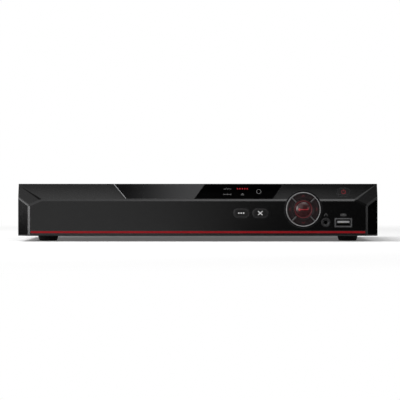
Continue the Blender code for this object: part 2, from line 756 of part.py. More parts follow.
def make_power_key():
    """A pill-shaped key on the band. It slides straight back, so its face is cut to the band's slope."""
    place = front(POWER_X, POWER_Z)
    cap = from_mesh(
        prism([stadium(POWER_KEY_W, POWER_KEY_H)], place, -POWER_FLANGE_Y - KEY_FLANGE_T / 2, 0))
    point, normal = facet_planes()[0]
    slice_off(cap, point + normal * KEY_PROUD, normal)
    bmesh.ops.recalc_face_normals(cap, faces=cap.faces)
    slope = [f for f in cap.faces if f.normal.dot(normal) > 0.99]
    bmesh.ops.bevel(cap, geom=slope[0].edges[:], offset=KEY_ROUND, segments=1, affect="EDGES")
    ears = rounded(POWER_KEY_W + 2 * KEY_FLANGE, POWER_KEY_H - 2 * OVERLAP, KEY_FLANGE)
    flange = prism([ears], place, -POWER_FLANGE_Y - KEY_FLANGE_T, -POWER_FLANGE_Y)
    part("power_key", to_mesh(cap), "key_black", [(FUSE, flange)], (POWER_X, 0, POWER_Z))
    hole = stadium(POWER_KEY_W + 2 * GAP, POWER_KEY_H + 2 * GAP)
    return prism([hole], place, -STEM_Y, 0)


def make_arrow_key(name, angle):
    """A quarter of the keypad, in a pocket of the bright frame, with a flange behind the collar."""
    place = front(PAD_X, PAD_Z)
    flange_y = COLLAR_BACK + GAP
    spoke = SPOKE_W / 2 + GAP
    quarter = quarter_ring(KEY_R_IN, KEY_R_OUT, angle, spoke)
    cap = prism([quarter], place, -flange_y - KEY_FLANGE_T / 2, KEY_PROUD, KEY_ROUND)
    wide = quarter_ring(KEY_R_IN + OVERLAP, KEY_R_OUT + KEY_FLANGE, angle, spoke + OVERLAP)
    flange = prism([wide], place, -flange_y - KEY_FLANGE_T, -flange_y)
    x = PAD_X + KEY_R_MID * math.cos(math.radians(angle))
    z = PAD_Z + KEY_R_MID * math.sin(math.radians(angle))
    stem = rod(front(x, z), KEY_STEM_R, -STEM_Y, -flange_y - KEY_FLANGE_T / 2, 12)
    part(name, cap, "key_black", [(FUSE, flange), (FUSE, stem)], (x, 0, z))


def make_enter_key():
    """The domed middle key, turned with its flange and stem in one profile."""
    flange_y = RING_BACK + GAP
    shares = [i / DOME_STEPS for i in range(DOME_STEPS + 1)]
    dome = [(ENTER_R * share, ENTER_DOME - (ENTER_DOME + ENTER_EDGE) * share**2) for share in shares]
    flange_r = ENTER_R + KEY_FLANGE
    profile = dome + [
        (ENTER_R, -flange_y), (flange_r, -flange_y), (flange_r, -flange_y - KEY_FLANGE_T),
        (KEY_STEM_R, -flange_y - KEY_FLANGE_T), (KEY_STEM_R, -STEM_Y), (0, -STEM_Y),
    ]
    part("enter_key", turned(profile, front(PAD_X, PAD_Z), 24), "key_black", origin=(PAD_X, 0, PAD_Z))


def make_keypad_frame():
    """Bright ring, hub and four spokes in one moulding, which stands on the collar's ledge."""
    place = front(PAD_X, PAD_Z)
    outer = ring(place, RING_R, RING_R - RING_W, -RING_BACK, RING_PROUD, 36)
    ledge_y = LIGHT_RING_D + GAP
    hub = turned(
        [(HUB_R, RING_PROUD), (HUB_R, -RING_BACK), (LIGHT_RING_IN, -RING_BACK), (LIGHT_RING_IN, -ledge_y),
         (HUB_IN, -ledge_y), (HUB_IN, RING_PROUD)], place, 24, closed=True)
    spokes = []
    for angle in (45, 135, 225, 315):
        start, end = HUB_IN + HUB_WALL / 2, RING_R - RING_W / 2
        spoke = box((start, -SPOKE_W / 2, -RING_BACK + OVERLAP), (end, SPOKE_W / 2, SPOKE_PROUD))
        spoke.transform(place @ Matrix.Rotation(math.radians(angle), 4, "Z"))
        spokes.append(spoke)
    part("keypad_frame", outer, "bright_ring", [(FUSE, hub), (FUSE, joined(*spokes))])
    light = ring(place, LIGHT_RING_OUT, LIGHT_RING_IN, -LIGHT_RING_D, LIGHT_RING_PROUD, 24)
    part("enter_light_ring", light, "red_light")


# Front bezel and what is let into it


def facet_planes():
    """(point, outward normal) of the band, the side strips and the corner facets."""
    planes = [(Vector((0, 0, RIDGE_Z)), Vector((0, -BAND_H, BAND_BACK)).normalized())]
    for sign in (-1, 1):
        strip = Vector((sign * SIDE_BACK, -SIDE_W, 0)).normalized()
        planes.append((Vector((sign * FACE_RIGHT, 0, 0)), strip))
        inner = Vector((sign * (FACE_W / 2 - FACET_W), 0, RIDGE_Z))
        lower = Vector((sign * FACE_RIGHT, 0, RIDGE_Z - FACET_DROP))
        corner = Vector((sign * FACE_W / 2, BAND_BACK, FACE_H))
        normal = (lower - inner).cross(corner - inner).normalized()
        planes.append((inner, normal if normal.y < 0 else -normal))
    return planes


def slice_off(bm, point, normal):
    """Removes what lies on the normal's side of a plane and closes the cut."""
    everything = bm.verts[:] + bm.edges[:] + bm.faces[:]
    done = bmesh.ops.bisect_plane(bm, geom=everything, plane_co=point, plane_no=normal, clear_outer=True)
    edges = [e for e in done["geom_cut"] if isinstance(e, bmesh.types.BMEdge)]
    bmesh.ops.edgeloop_fill(bm, edges=edges)


def faceted_block(inset, back):
    """The bezel's outer form, or with an inset the hollow inside it."""
    half = FACE_W / 2 - inset
    bm = from_mesh(box((-half, inset, inset), (half, back, FACE_H - inset)))
    for point, normal in facet_planes():
        slice_off(bm, point - normal * inset, normal)
    bmesh.ops.recalc_face_normals(bm, faces=bm.faces)
    return bm


def chamfered_block():
    """The outer form, with a narrow chamfer where two front facets, or a facet and the underside, meet."""
    bm = faceted_block(0, BEZEL_D)

    def in_front(face):
        return face.normal.y < -0.1

    def below(face):
        return face.normal.z < -0.9

    edges = [
        e for e in bm.edges
        if any(in_front(f) for f in e.link_faces) and all(in_front(f) or below(f) for f in e.link_faces)
    ]
    bmesh.ops.bevel(bm, geom=edges, offset=EDGE_CHAMFER, segments=1, affect="EDGES")
    return to_mesh(bm)


def panel_outline(left, right, left_slant, right_slant, grow=0.0):
    """A panel on the band; its slants say how far each end leans to the right at the band's top."""
    low, high = PANEL_RISE - grow, BAND_L + REACH
    run = (high - low) / (BAND_L - PANEL_RISE)
    left, right = left - grow, right + grow
    return [(left, low), (right, low), (right + right_slant * run, high), (left + left_slant * run, high)]


def make_band_panel(name, finish, outline):
    """A panel let into the band, whose upper edge ends level with the bezel's top."""
    bm = from_mesh(prism([outline], band(), -PANEL_SINK, PANEL_PROUD))
    slice_off(bm, Vector((0, 0, FACE_H)), Vector((0, 0, 1)))
    part(name, to_mesh(bm), finish)


def make_panels():
    """Status window and gloss panel, side by side; returns their recess and the window's opening."""
    window = panel_outline(WINDOW_LEFT, WINDOW_RIGHT, WINDOW_SLANT, WINDOW_SLANT)
    gloss = panel_outline(GLOSS_LEFT, WINDOW_LEFT - GAP, -GLOSS_SLANT, WINDOW_SLANT)
    make_band_panel("status_window", "window_black", window)
    make_band_panel("gloss_panel", "smoked_gloss", gloss)
    both = panel_outline(GLOSS_LEFT, WINDOW_RIGHT, -GLOSS_SLANT, WINDOW_SLANT, GAP)
    recess = prism([both], band(), -PANEL_SINK - GAP, REACH)
    left, right = LED_X - LED_W - GUIDE_R, IR_X + IR_W / 2
    low, high = PANEL_RISE + WINDOW_RIM, BAND_L - WINDOW_RIM
    opening = prism(
        [[(left, low), (right, low), (right, high), (left, high)]], band(), -BEZEL_WALL - REACH, REACH)
    return [recess, opening]


def make_trim():
    """The red strip along the foot of the face; returns its groove."""
    width = 2 * (FACE_RIGHT - TRIM_END)
    place = front(0, TRIM_Z)
    strip = prism([rectangle(width, TRIM_H)], place, -TRIM_SINK, TRIM_PROUD, TRIM_ROUND)
    part("red_trim_strip", strip, "red_trim")
    return prism([rectangle(width + 2 * GAP, TRIM_H + 2 * GAP)], place, -TRIM_SINK - GAP, REACH)


def board_edges():
    """Left, right, lower and upper edge of the key board."""
    right = FACE_W / 2 - BEZEL_WALL - BOARD_MARGIN
    return LED_X - BOARD_PAST_LED, right, BEZEL_WALL + BOARD_MARGIN, FACE_H - BEZEL_WALL - BOARD_MARGIN


def make_posts():
    """Posts inside the bezel that the key board is screwed to: two from the face, two from the band."""
    left, _, low, _ = board_edges()
    low += POST_R
    inset = POST_R + POST_FROM_EDGE
    face_start = BEZEL_WALL - OVERLAP
    band_start = band_outside(BAND_MID_Z + POST_R) + OVERLAP
    places = [
        (left + inset, low, face_start), (FACE_RIGHT - inset, low, face_start),
        (left + inset, BAND_MID_Z, band_start), (PAD_X + COLLAR_R + inset, BAND_MID_Z, band_start),
    ]
    return joined(*[rod(front(x, z), POST_R, -BOARD_Y + GAP, -start, 12) for x, z, start in places])


def make_front_bezel(holes):
    """The moulded shell: faceted outside, even wall, a collar for the keypad, posts and openings."""
    place = front(PAD_X, PAD_Z)
    hollow = to_mesh(faceted_block(BEZEL_WALL, BEZEL_D + REACH))
    collar = rod(place, COLLAR_R, -COLLAR_BACK, COLLAR_PROUD, 36)
    ledge_r = BORE_R - LEDGE_W
    bore = turned(
        [(0, REACH), (BORE_R, REACH), (BORE_R, -LEDGE_Y), (ledge_r, -LEDGE_Y),
         (ledge_r, -COLLAR_BACK - REACH), (0, -COLLAR_BACK - REACH)], place, 36)
    steps = [(CUT, hollow), (FUSE, collar), (FUSE, make_posts()), (CUT, bore)]
    part("front_bezel", chamfered_block(), "bezel_plastic", steps + [(CUT, hole) for hole in holes])


# Front electronics


def switch_places():
    """(x, z) of every key's switch."""
    places = [(FUNCTION_X, SMALL_KEY_Z), (ESCAPE_X, SMALL_KEY_Z), (POWER_X, POWER_Z), (PAD_X, PAD_Z)]
    for angle in ARROWS.values():
        turn = math.radians(angle)
        places.append((PAD_X + KEY_R_MID * math.cos(turn), PAD_Z + KEY_R_MID * math.sin(turn)))
    return places


def make_key_board():
    """The circuit board behind the keys, with its switches, lamps and cable header."""
    left, right, low, high = board_edges()
    plate = box((left, BOARD_Y, low), (right, BOARD_Y + BOARD_T, high))
    half = SWITCH_W / 2
    bodies = [
        box((x - half, BOARD_Y - SWITCH_BODY, z - half), (x + half, BOARD_Y + OVERLAP, z + half))
        for x, z in switch_places()
    ]
    body_top = -BOARD_Y + SWITCH_BODY
    plungers = [
        rod(front(x, z), PLUNGER_R, body_top - OVERLAP, -PLUNGER_Y, 8) for x, z in switch_places()
    ]
    lamp_mid = BOARD_Y + (OVERLAP - LED_H) / 2
    lamps = [block((x, lamp_mid, z), (LED_W, LED_H + OVERLAP, LED_W)) for x, z in LEDS]
    back = BOARD_Y + BOARD_T
    header = box(
        (PANEL_CABLE_X - HEADER_W / 2, back - OVERLAP, PAD_Z - HEADER_H / 2),
        (PANEL_CABLE_X + HEADER_W / 2, back + HEADER_H, PAD_Z + HEADER_H / 2))
    part("key_board", plate, "board_green",
         [(FUSE, joined(*bodies)), (FUSE, joined(*plungers)), (FUSE, joined(*lamps)), (FUSE, header)])


def make_light_guide():
    """Clear fingers that carry the lamps' light to the back of the window, on a plate with two legs."""
    top = max(z for _, z in LEDS) + GUIDE_R
    plate_y = band_inside(top) + GAP
    glass = PANEL_SINK * BAND_L / BAND_H + GAP
    left, right = min(x for x, _ in LEDS), max(x for x, _ in LEDS)
    plate = box(
        (left - GUIDE_MARGIN, plate_y, min(z for _, z in LEDS) - GUIDE_R),
        (right + GUIDE_MARGIN, plate_y + GUIDE_T, top))
    fingers = joined(*[
        rod(front(x, z), GUIDE_R - 2 * GAP, -plate_y - OVERLAP, -band_outside(z + GUIDE_R) - glass, 8)
        for x, z in LEDS])
    middle = (left + right) / 2
    legs = joined(*[
        rod(front(x, BAND_MID_Z), GUIDE_R, -BOARD_Y + GAP, -plate_y - OVERLAP, 8)
        for x in (middle - LED_W, middle + LED_W)])
    part("status_light_guide", plate, "clear_guide", [(FUSE, fingers), (FUSE, legs)])


def make_ir_receiver():
    back = BOARD_Y - GAP
    body = block((IR_X, back - IR_D / 2, BAND_MID_Z), (IR_W, IR_D, IR_H))
    quarter = arc((0, 0), IR_LENS_R, 90, 0, 4)
    lens = turned([*quarter, (IR_LENS_R, -OVERLAP), (0, -OVERLAP)],
                  front(IR_X, BAND_MID_Z) @ Matrix.Translation((0, 0, IR_D - back)), 14)
    part("ir_receiver", body, "socket_black", [(FUSE, lens)])


def make_usb_socket(name, place, back, proud, fused=()):
    """A USB A socket: a metal shell and what is fused to it, a bay, and a tongue nearer its upper wall."""
    shell = prism([rectangle(USB_W, USB_H)], place, -back, proud)
    bay = prism([rectangle(USB_W - 2 * USB_WALL, USB_H - 2 * USB_WALL)], place, proud - USB_BAY, REACH)
    middle = USB_H / 2 - USB_WALL - TONGUE_DROP - TONGUE_T / 2
    tongue = prism(
        [rectangle(TONGUE_W, TONGUE_T, (0, middle))], place, proud - USB_BAY - OVERLAP, proud - TONGUE_SET)
    part(name, shell, "bare_metal", [*fused, (CUT, bay), (FUSE, tongue)])


def make_front_sockets():
    """The USB socket and the round audio socket; returns their holes in the bezel."""
    usb = front(USB_X, USB_Z)
    lip = rectangle(USB_W + 2 * USB_FLANGE, USB_H + 2 * USB_FLANGE)
    lip = prism([lip], usb, USB_PROUD - USB_FLANGE_T, USB_PROUD)
    make_usb_socket("front_usb_port", usb, BOARD_Y - GAP, USB_PROUD, [(FUSE, lip)])
    jack = front(JACK_X, JACK_Z)
    body_y = BEZEL_WALL + GAP
    profile = [
        (0, -JACK_BORE), (JACK_BORE_R, -JACK_BORE), (JACK_BORE_R, JACK_PROUD - JACK_CUP),
        (JACK_CUP_R, JACK_PROUD - JACK_CUP / 2), (JACK_CUP_R, JACK_PROUD), (JACK_R, JACK_PROUD),
        (JACK_R, -body_y), (JACK_BODY_R, -body_y), (JACK_BODY_R, -BOARD_Y + GAP), (0, -BOARD_Y + GAP),
    ]
    part("audio_jack", turned(profile, jack, 18), "socket_black")
    hole = rectangle(USB_W + 2 * (USB_FLANGE + GAP), USB_H + 2 * (USB_FLANGE + GAP))
    through = -BEZEL_WALL - REACH
    return [prism([hole], usb, through, REACH), rod(jack, JACK_R + GAP, through, REACH, 24)]


# Inside


def make_main_board():
    """The main board with its processor, memory, coils, capacitors and cable headers."""
    top = MAIN_Z + MAIN_T
    plate = box((MAIN_LEFT, MAIN_FRONT, MAIN_Z), (MAIN_RIGHT, MAIN_BACK, top))
    header_y = MAIN_FRONT + HEADER_INSET
    chips = [
        block((SINK_X, SINK_Y, top + (CHIP_T - OVERLAP) / 2), (CHIP_W, CHIP_W, CHIP_T + OVERLAP)),
        *[block((x, header_y, top + (HEADER_H - OVERLAP) / 2), (HEADER_W, HEADER_H, HEADER_H + OVERLAP))
          for x in cable_headers().values()],
    ]
    memory_x = SINK_X - SINK_W
    for y in (SINK_Y - MEMORY_PITCH / 2, SINK_Y + MEMORY_PITCH / 2):
        chips.append(block((memory_x, y, top), (MEMORY_L, MEMORY_W, 2 * CHIP_T)))
    cans_x = memory_x - CHIP_W
    rows = (SINK_Y - MEMORY_PITCH / 2, SINK_Y, SINK_Y + MEMORY_PITCH / 2)
    cans = [rod(up(cans_x, y, top), CAN_R, -OVERLAP, CAN_H, 10) for y in rows]
    part("main_board", plate, "board_green", [(FUSE, joined(*chips, *cans))])


def cable_headers():
    """x of the three cable headers along the main board's front edge."""
    right = MAIN_RIGHT - HEADER_FROM_RIGHT
    names = ("front_panel_cable", "drive_data_cable", "drive_power_cable")
    return {name: right - i * HEADER_PITCH for i, name in enumerate(names)}


def make_heat_sink():
    """A comb of fins on a plate, drawn out as such sinks are."""
    bottom = MAIN_Z + MAIN_T + CHIP_T + GAP
    pitch = (SINK_W - SINK_FIN_T) / (SINK_FINS - 1)
    comb = [(-SINK_W / 2, 0), (SINK_W / 2, 0)]
    for i in reversed(range(SINK_FINS)):
        left = -SINK_W / 2 + i * pitch
        comb += [(left + SINK_FIN_T, SINK_H), (left, SINK_H)]
        if i:
            comb += [(left, SINK_BASE), (left - pitch + SINK_FIN_T, SINK_BASE)]
    sink = prism([comb], front(SINK_X, bottom), -SINK_Y - SINK_W / 2, -SINK_Y + SINK_W / 2)
    part("heat_sink", sink, "sink_aluminium")


def make_coin_cell():
    """The clock's coin cell, in its round holder on the main board."""
    place = up(CELL_X, CELL_Y, DECK_Z)
    outer = CELL_R + GAP + CELL_WALL
    high = CELL_FLOOR + GAP + CELL_T
    pocket = rod(place, CELL_R + GAP, CELL_FLOOR, high + REACH, 20)
    part("coin_cell_holder", rod(place, outer, 0, high - CELL_T / 3, 20), "socket_black", [(CUT, pocket)])
    part("coin_cell", rod(place, CELL_R, CELL_FLOOR + GAP, high, 20), "bare_metal")


def make_hard_drive():
    """A drive on the pan's bosses: a cast body and a lid with a raised disc over the platters."""
    place = up(DRIVE_LEFT + DRIVE_L / 2, DRIVE_FRONT + DRIVE_W / 2, DRIVE_Z)
    body = prism([rounded(DRIVE_L, DRIVE_W, DRIVE_ROUND)], place, 0, DRIVE_H - DRIVE_LID_T)
    lid_w = DRIVE_W - 2 * DRIVE_LID_INSET
    lid = prism([rounded(DRIVE_L - 2 * DRIVE_LID_INSET, lid_w, DRIVE_ROUND)], place,
                DRIVE_H - DRIVE_LID_T - OVERLAP, DRIVE_H - OVERLAP)
    disc = rod(place @ up((DRIVE_L - lid_w) / 2 - DRIVE_ROUND, 0), lid_w / 2 - DRIVE_LID_INSET,
               DRIVE_H - DRIVE_LID_T, DRIVE_H, 32)
    part("hard_drive", body, "sink_aluminium", [(FUSE, lid), (FUSE, disc)])


def make_cable(name, finish, lower_plug, route):
    """A cable from its lower plug along a route, and then up and over into its plug on the main board."""
    x, y = cable_headers()[name], MAIN_FRONT + HEADER_INSET
    plug_z = MAIN_Z + MAIN_T + HEADER_H + GAP
    over = plug_z + PLUG_L
    upper_plug = block((x, y, plug_z + PLUG_L / 2), (PLUG_W, PLUG_H, PLUG_L))
    rise = [(x, y - 9 * MM, over + 3 * MM), (x, y - 1 * MM, over + 5 * MM), (x, y, over - PLUG_H / 2)]
    part(name, tube(route + rise, CABLE_R), finish, [(FUSE, lower_plug), (FUSE, upper_plug)])


def make_cables():
    """Two cables from the drive and one from the key board, low over the floor and up to the main board."""
    low = DRIVE_Z + PLUG_H
    behind_drive = DRIVE_FRONT + DRIVE_W
    for name, finish, plug_y, bow in (("drive_power_cable", "cable_black", POWER_PLUG_Y, POWER_BOW),
                                      ("drive_data_cable", "cable_red", DATA_PLUG_Y, DATA_BOW)):
        y = DRIVE_FRONT + plug_y
        plug = block((DRIVE_PLUG_END - PLUG_L / 2, y, low), (PLUG_L, PLUG_W, PLUG_H))
        x = DRIVE_PLUG_END + bow
        route = [(DRIVE_PLUG_END - PLUG_H / 2, y, low), (DRIVE_PLUG_END + 3 * MM, y + 1 * MM, low),
                 (x, y + 14 * MM, low), (x, behind_drive - 12 * MM, low),
                 (x, behind_drive + 2 * MM, low + 6 * MM)]
        make_cable(name, finish, plug, route)
    start = BOARD_Y + BOARD_T + HEADER_H + GAP
    x = PANEL_CABLE_X
    plug = block((x, start + PLUG_L / 2, PAD_Z), (PLUG_W, PLUG_L, PLUG_H))
    route = [(x, start + PLUG_L / 2, PAD_Z), (x, start + PLUG_L + 4 * MM, PAD_Z - 3 * MM),
             (x, DRIVE_FRONT + 20 * MM, low), (x, behind_drive - 12 * MM, low),
             (x, behind_drive + 2 * MM, low + 6 * MM)]
    make_cable("front_panel_cable", "cable_black", plug, route)


def fan_place():
    return Matrix.Translation((FAN_X, VENT_FRONT_Y, FAN_Z)) @ Matrix.Rotation(math.pi / 2, 4, "Y")


def make_fan():
    """A small case fan that blows out through the side: square frame with a bore, hub on struts, rotor."""
    place = fan_place()
    inner, outer = -FAN_T / 2, FAN_T / 2
    bore = arc((0, 0), FAN_BORE_R, 0, 342, 19)
    frame = prism([rounded(FAN_W, FAN_W, FAN_ROUND), bore], place, inner, outer)
    hub = rod(place, FAN_HUB_R, inner, inner + FAN_PLATE, 14)
    struts = []
    for angle in (30, 150, 270):
        strut = box(
            (FAN_HUB_R - OVERLAP, -FAN_STRUT_W / 2, inner + FAN_STRUT_INSET),
            (FAN_BORE_R + OVERLAP, FAN_STRUT_W / 2, inner + FAN_PLATE - FAN_STRUT_INSET))
        strut.transform(place @ Matrix.Rotation(math.radians(angle), 4, "Z"))
        struts.append(strut)
    hole = rod(place, FAN_SHAFT_R + GAP, inner - REACH, inner + REACH, 8)
    part("fan_frame", frame, "socket_black", [(FUSE, hub), (FUSE, joined(*struts)), (CUT, hole)])
    low, high = inner + FAN_PLATE + GAP, outer - GAP
    boss = rod(place, FAN_HUB_R, low, high, 14)
    shaft = rod(place, FAN_SHAFT_R, inner, low + OVERLAP, 8)
    blades = []
    for i in range(FAN_BLADES):
        blade = box((FAN_HUB_R - OVERLAP, -FAN_CHORD / 2, -FAN_BLADE_T / 2),
                    (FAN_BORE_R - FAN_TIP_GAP, FAN_CHORD / 2, FAN_BLADE_T / 2))
        turn = Matrix.Rotation(2 * math.pi * i / FAN_BLADES, 4, "Z") @ up(0, 0, (low + high) / 2)
        blade.transform(place @ turn @ Matrix.Rotation(math.radians(FAN_PITCH), 4, "X"))
        blades.append(blade)
    part("fan_rotor", boss, "socket_black", [(FUSE, shaft), (FUSE, joined(*blades))], place.translation)


# Rear sockets: each of these makes its pieces and returns the holes that the rear panel needs for them


def behind_panel():
    """Depth of what stands just inside the rear panel, in a rear frame."""
    return -SHEET - GAP


def stacked_block(x, low, high, width, depth):
    """The insulating block behind a round socket, standing on the board or on another block."""
    back = PANEL_INSIDE - GAP
    return box((x - width / 2, back - depth, low), (x + width / 2, back, high))


def make_video_socket(name, x, z, low, high):
    """A bayonet video socket: nut, barrel with two lugs, and a bore round an insulated core."""
    place = rear(x, z)
    tip = VIDEO_REACH
    inner = behind_panel() - OVERLAP
    shape = turned(
        [(0, tip), (VIDEO_R, tip), (VIDEO_R, VIDEO_NUT_H), (VIDEO_NUT_R, VIDEO_NUT_H), (VIDEO_NUT_R, GAP),
         (VIDEO_NECK_R, GAP), (VIDEO_NECK_R, inner), (0, inner)], place, 12)
    block_mesh = stacked_block(x, low, high, VIDEO_BLOCK, VIDEO_BLOCK_D)
    lugs = []
    for sign in (-1, 1):
        lug = place @ up(0, 0, tip - VIDEO_LUG_FROM_TIP) @ Matrix.Rotation(sign * math.pi / 2, 4, "Y")
        lugs.append(rod(lug, VIDEO_LUG_R, (VIDEO_R + VIDEO_BORE_R) / 2, VIDEO_R + VIDEO_LUG, 6))
    bore = turned(
        [(0, tip + REACH), (VIDEO_BORE_R, tip + REACH), (VIDEO_BORE_R, VIDEO_NUT_H),
         (VIDEO_CORE_R, VIDEO_NUT_H), (VIDEO_CORE_R, VIDEO_CORE), (0, VIDEO_CORE)], place, 10)
    part(name, shape, "bare_metal", [(FUSE, block_mesh), (FUSE, joined(*lugs)), (CUT, bore)])
    return rod(place, VIDEO_NECK_R + 2 * GAP, -SHEET - REACH, REACH, 12)


def make_audio_socket(name, finish, x, z, low, high):
    """A round audio socket: coloured collar, metal barrel and a middle hole."""
    place = rear(x, z)
    inner = behind_panel() - OVERLAP
    shape = turned(
        [(0, AUDIO_REACH), (AUDIO_R, AUDIO_REACH), (AUDIO_R, AUDIO_COLLAR_H),
         (AUDIO_COLLAR_R, AUDIO_COLLAR_H), (AUDIO_COLLAR_R, GAP), (AUDIO_NECK_R, GAP),
         (AUDIO_NECK_R, inner), (0, inner)], place, 14)
    block_mesh = stacked_block(x, low, high, AUDIO_BLOCK, AUDIO_BLOCK_D)
    bore = rod(place, AUDIO_BORE_R, -AUDIO_COLLAR_H, AUDIO_REACH + REACH, 10)
    part(name, shape, finish, [(FUSE, block_mesh), (CUT, bore)])
    return rod(place, AUDIO_NECK_R + 2 * GAP, -SHEET - REACH, REACH, 12)


def make_round_sockets():
    """Video sockets in two rows, and one audio socket in each row; an upper block stands on a lower one."""
    holes = []
    low_top, high_top = LOW_ROW_Z + VIDEO_BLOCK / 2, HIGH_ROW_Z + VIDEO_BLOCK / 2
    rows = [(LOW_ROW_Z, DECK_Z, low_top), (HIGH_ROW_Z, low_top + GAP, high_top)]
    for row, (z, low, high) in enumerate(rows):
        for column in range(VIDEO_COLUMNS):
            name = f"video_socket_{row * VIDEO_COLUMNS + column + 1}"
            holes.append(make_video_socket(name, REAR_X[f"video_{column + 1}"], z, low, high))
    pair = (("audio_in_socket", "audio_red"), ("audio_out_socket", "audio_white"))
    for (z, low, high), (name, finish) in zip(rows, pair):
        holes.append(make_audio_socket(name, finish, REAR_X["audio"], z, low, high))
    return holes


def make_terminal():
    """A screw terminal in a row of ways, each with a mouth for a wire."""
    place = rear(REAR_X["terminal"], DECK_Z + TERMINAL_H / 2)
    body = prism([rectangle(TERMINAL_W, TERMINAL_H)], place, -TERMINAL_D, TERMINAL_REACH)
    mouths = []
    for i in range(TERMINAL_WAYS):
        x = (i - (TERMINAL_WAYS - 1) / 2) * TERMINAL_PITCH
        mouth = rectangle(TERMINAL_HOLE, TERMINAL_HOLE, (x, TERMINAL_HOLE + TERMINAL_WALL - TERMINAL_H / 2))
        mouths.append(prism([mouth], place, TERMINAL_REACH - TERMINAL_HOLE_D, TERMINAL_REACH + REACH))
    part("screw_terminal", body, "terminal_green", [(CUT, joined(*mouths))])
    hole = rectangle(TERMINAL_W + 2 * GAP, TERMINAL_H + 2 * GAP)
    return [prism([hole], place, -SHEET - REACH, REACH)]


def analogue_outline(grow=0.0):
    """The D shape: a trapezium, wider at the top, with round corners."""
    half_h = ANALOGUE_SHELL_H / 2 - ANALOGUE_ROUND
    top = ANALOGUE_SHELL_W / 2 - ANALOGUE_ROUND
    bottom = top - ANALOGUE_SHELL_TAPER
    corners = ((top, half_h, 0), (-top, half_h, 90), (-bottom, -half_h, 180), (bottom, -half_h, 270))
    return [p for x, y, a in corners for p in arc((x, y), ANALOGUE_ROUND + grow, a, a + 90, 3)]


def make_analogue_socket():
    """A video output: flange and body inside the panel, D-shaped shell and two hexagonal nuts outside."""
    place = rear(REAR_X["analogue_video"], DECK_Z + ANALOGUE_H / 2)
    body = prism([rectangle(ANALOGUE_W, ANALOGUE_H)], place, behind_panel() - ANALOGUE_D, behind_panel())
    shell = prism([analogue_outline()], place, behind_panel() - OVERLAP, ANALOGUE_SHELL_REACH)
    nuts = [
        rod(place @ up(x, 0), ANALOGUE_NUT_R, behind_panel() - OVERLAP, ANALOGUE_NUT_REACH, 6)
        for x in (-ANALOGUE_NUTS / 2, ANALOGUE_NUTS / 2)
    ]
    part("analogue_video_socket", body, "video_blue", [(FUSE, joined(shell, *nuts))])
    holes = [prism([analogue_outline(GAP)], place, -SHEET - REACH, REACH)]
    for x in (-ANALOGUE_NUTS / 2, ANALOGUE_NUTS / 2):
        holes.append(rod(place @ up(x, 0), ANALOGUE_NUT_R + 2 * GAP, -SHEET - REACH, REACH, 10))
    return holes


def digital_outline(inset=0.0):
    """A flat socket's outline whose lower corners are cut in."""
    w, h = DIGITAL_W / 2 - inset, DIGITAL_H / 2 - inset
    foot, knee = w - DIGITAL_STEP, DIGITAL_STEP - h
    return [(-w, h), (-w, knee), (-foot, -h), (foot, -h), (w, knee), (w, h)]


def make_digital_socket():
    place = rear(REAR_X["digital_video"], DECK_Z + DIGITAL_H / 2)
    body = prism([digital_outline()], place, -DIGITAL_D, SOCKET_PROUD)
    bay = prism([digital_outline(DIGITAL_WALL)], place, SOCKET_PROUD - DIGITAL_BAY, REACH)
    tongue = prism([rectangle(DIGITAL_TONGUE_W, DIGITAL_TONGUE_T)], place,
                   SOCKET_PROUD - DIGITAL_BAY - OVERLAP, 0)
    part("digital_video_socket", body, "bare_metal", [(CUT, bay), (FUSE, tongue)])
    return [prism([digital_outline(-GAP)], place, -SHEET - REACH, REACH)]


def make_rear_usb():
    place = rear(REAR_X["usb"], DECK_Z + USB_H / 2)
    make_usb_socket("rear_usb_port", place, REAR_USB_D, SOCKET_PROUD)
    hole = rectangle(USB_W + 2 * GAP, USB_H + 2 * GAP)
    return [prism([hole], place, -SHEET - REACH, REACH)]


def make_lan_socket():
    """A network socket: a block with a bay for the plug and a notch for its latch."""
    place = rear(REAR_X["lan"], DECK_Z + LAN_H / 2)
    body = prism([rectangle(LAN_W, LAN_H)], place, -LAN_D, SOCKET_PROUD)
    back = SOCKET_PROUD - LAN_BAY_D
    bay = prism([rectangle(LAN_BAY_W, LAN_BAY_H, (0, LAN_BAY_RISE))], place, back, REACH)
    notch = rectangle(LAN_LATCH_W, 2 * LAN_LATCH_H, (0, LAN_BAY_RISE - LAN_BAY_H / 2))
    latch = prism([notch], place, back + OVERLAP, REACH)
    part("lan_socket", body, "bare_metal", [(CUT, bay), (CUT, latch)])
    hole = rectangle(LAN_W + 2 * GAP, LAN_H + 2 * GAP)
    return [prism([hole], place, -SHEET - REACH, REACH)]


def make_power_inlet():
    """A barrel inlet: a block on the board, a collar through the panel and a pin in the bore."""
    place = rear(REAR_X["inlet"], DECK_Z + INLET_H / 2)
    body = prism([rectangle(INLET_W, INLET_H)], place, behind_panel() - INLET_D, behind_panel())
    collar = rod(place, INLET_R, behind_panel() - OVERLAP, INLET_REACH, 16)
    bore = turned(
        [(0, REACH), (INLET_BORE_R, REACH), (INLET_BORE_R, -INLET_BORE), (INLET_PIN_R, -INLET_BORE),
         (INLET_PIN_R, -INLET_PIN_SET), (0, -INLET_PIN_SET)], place, 12)
    part("power_inlet", body, "socket_black", [(FUSE, collar), (CUT, bore)])
    return [rod(place, INLET_R + GAP, -SHEET - REACH, REACH, 16)]


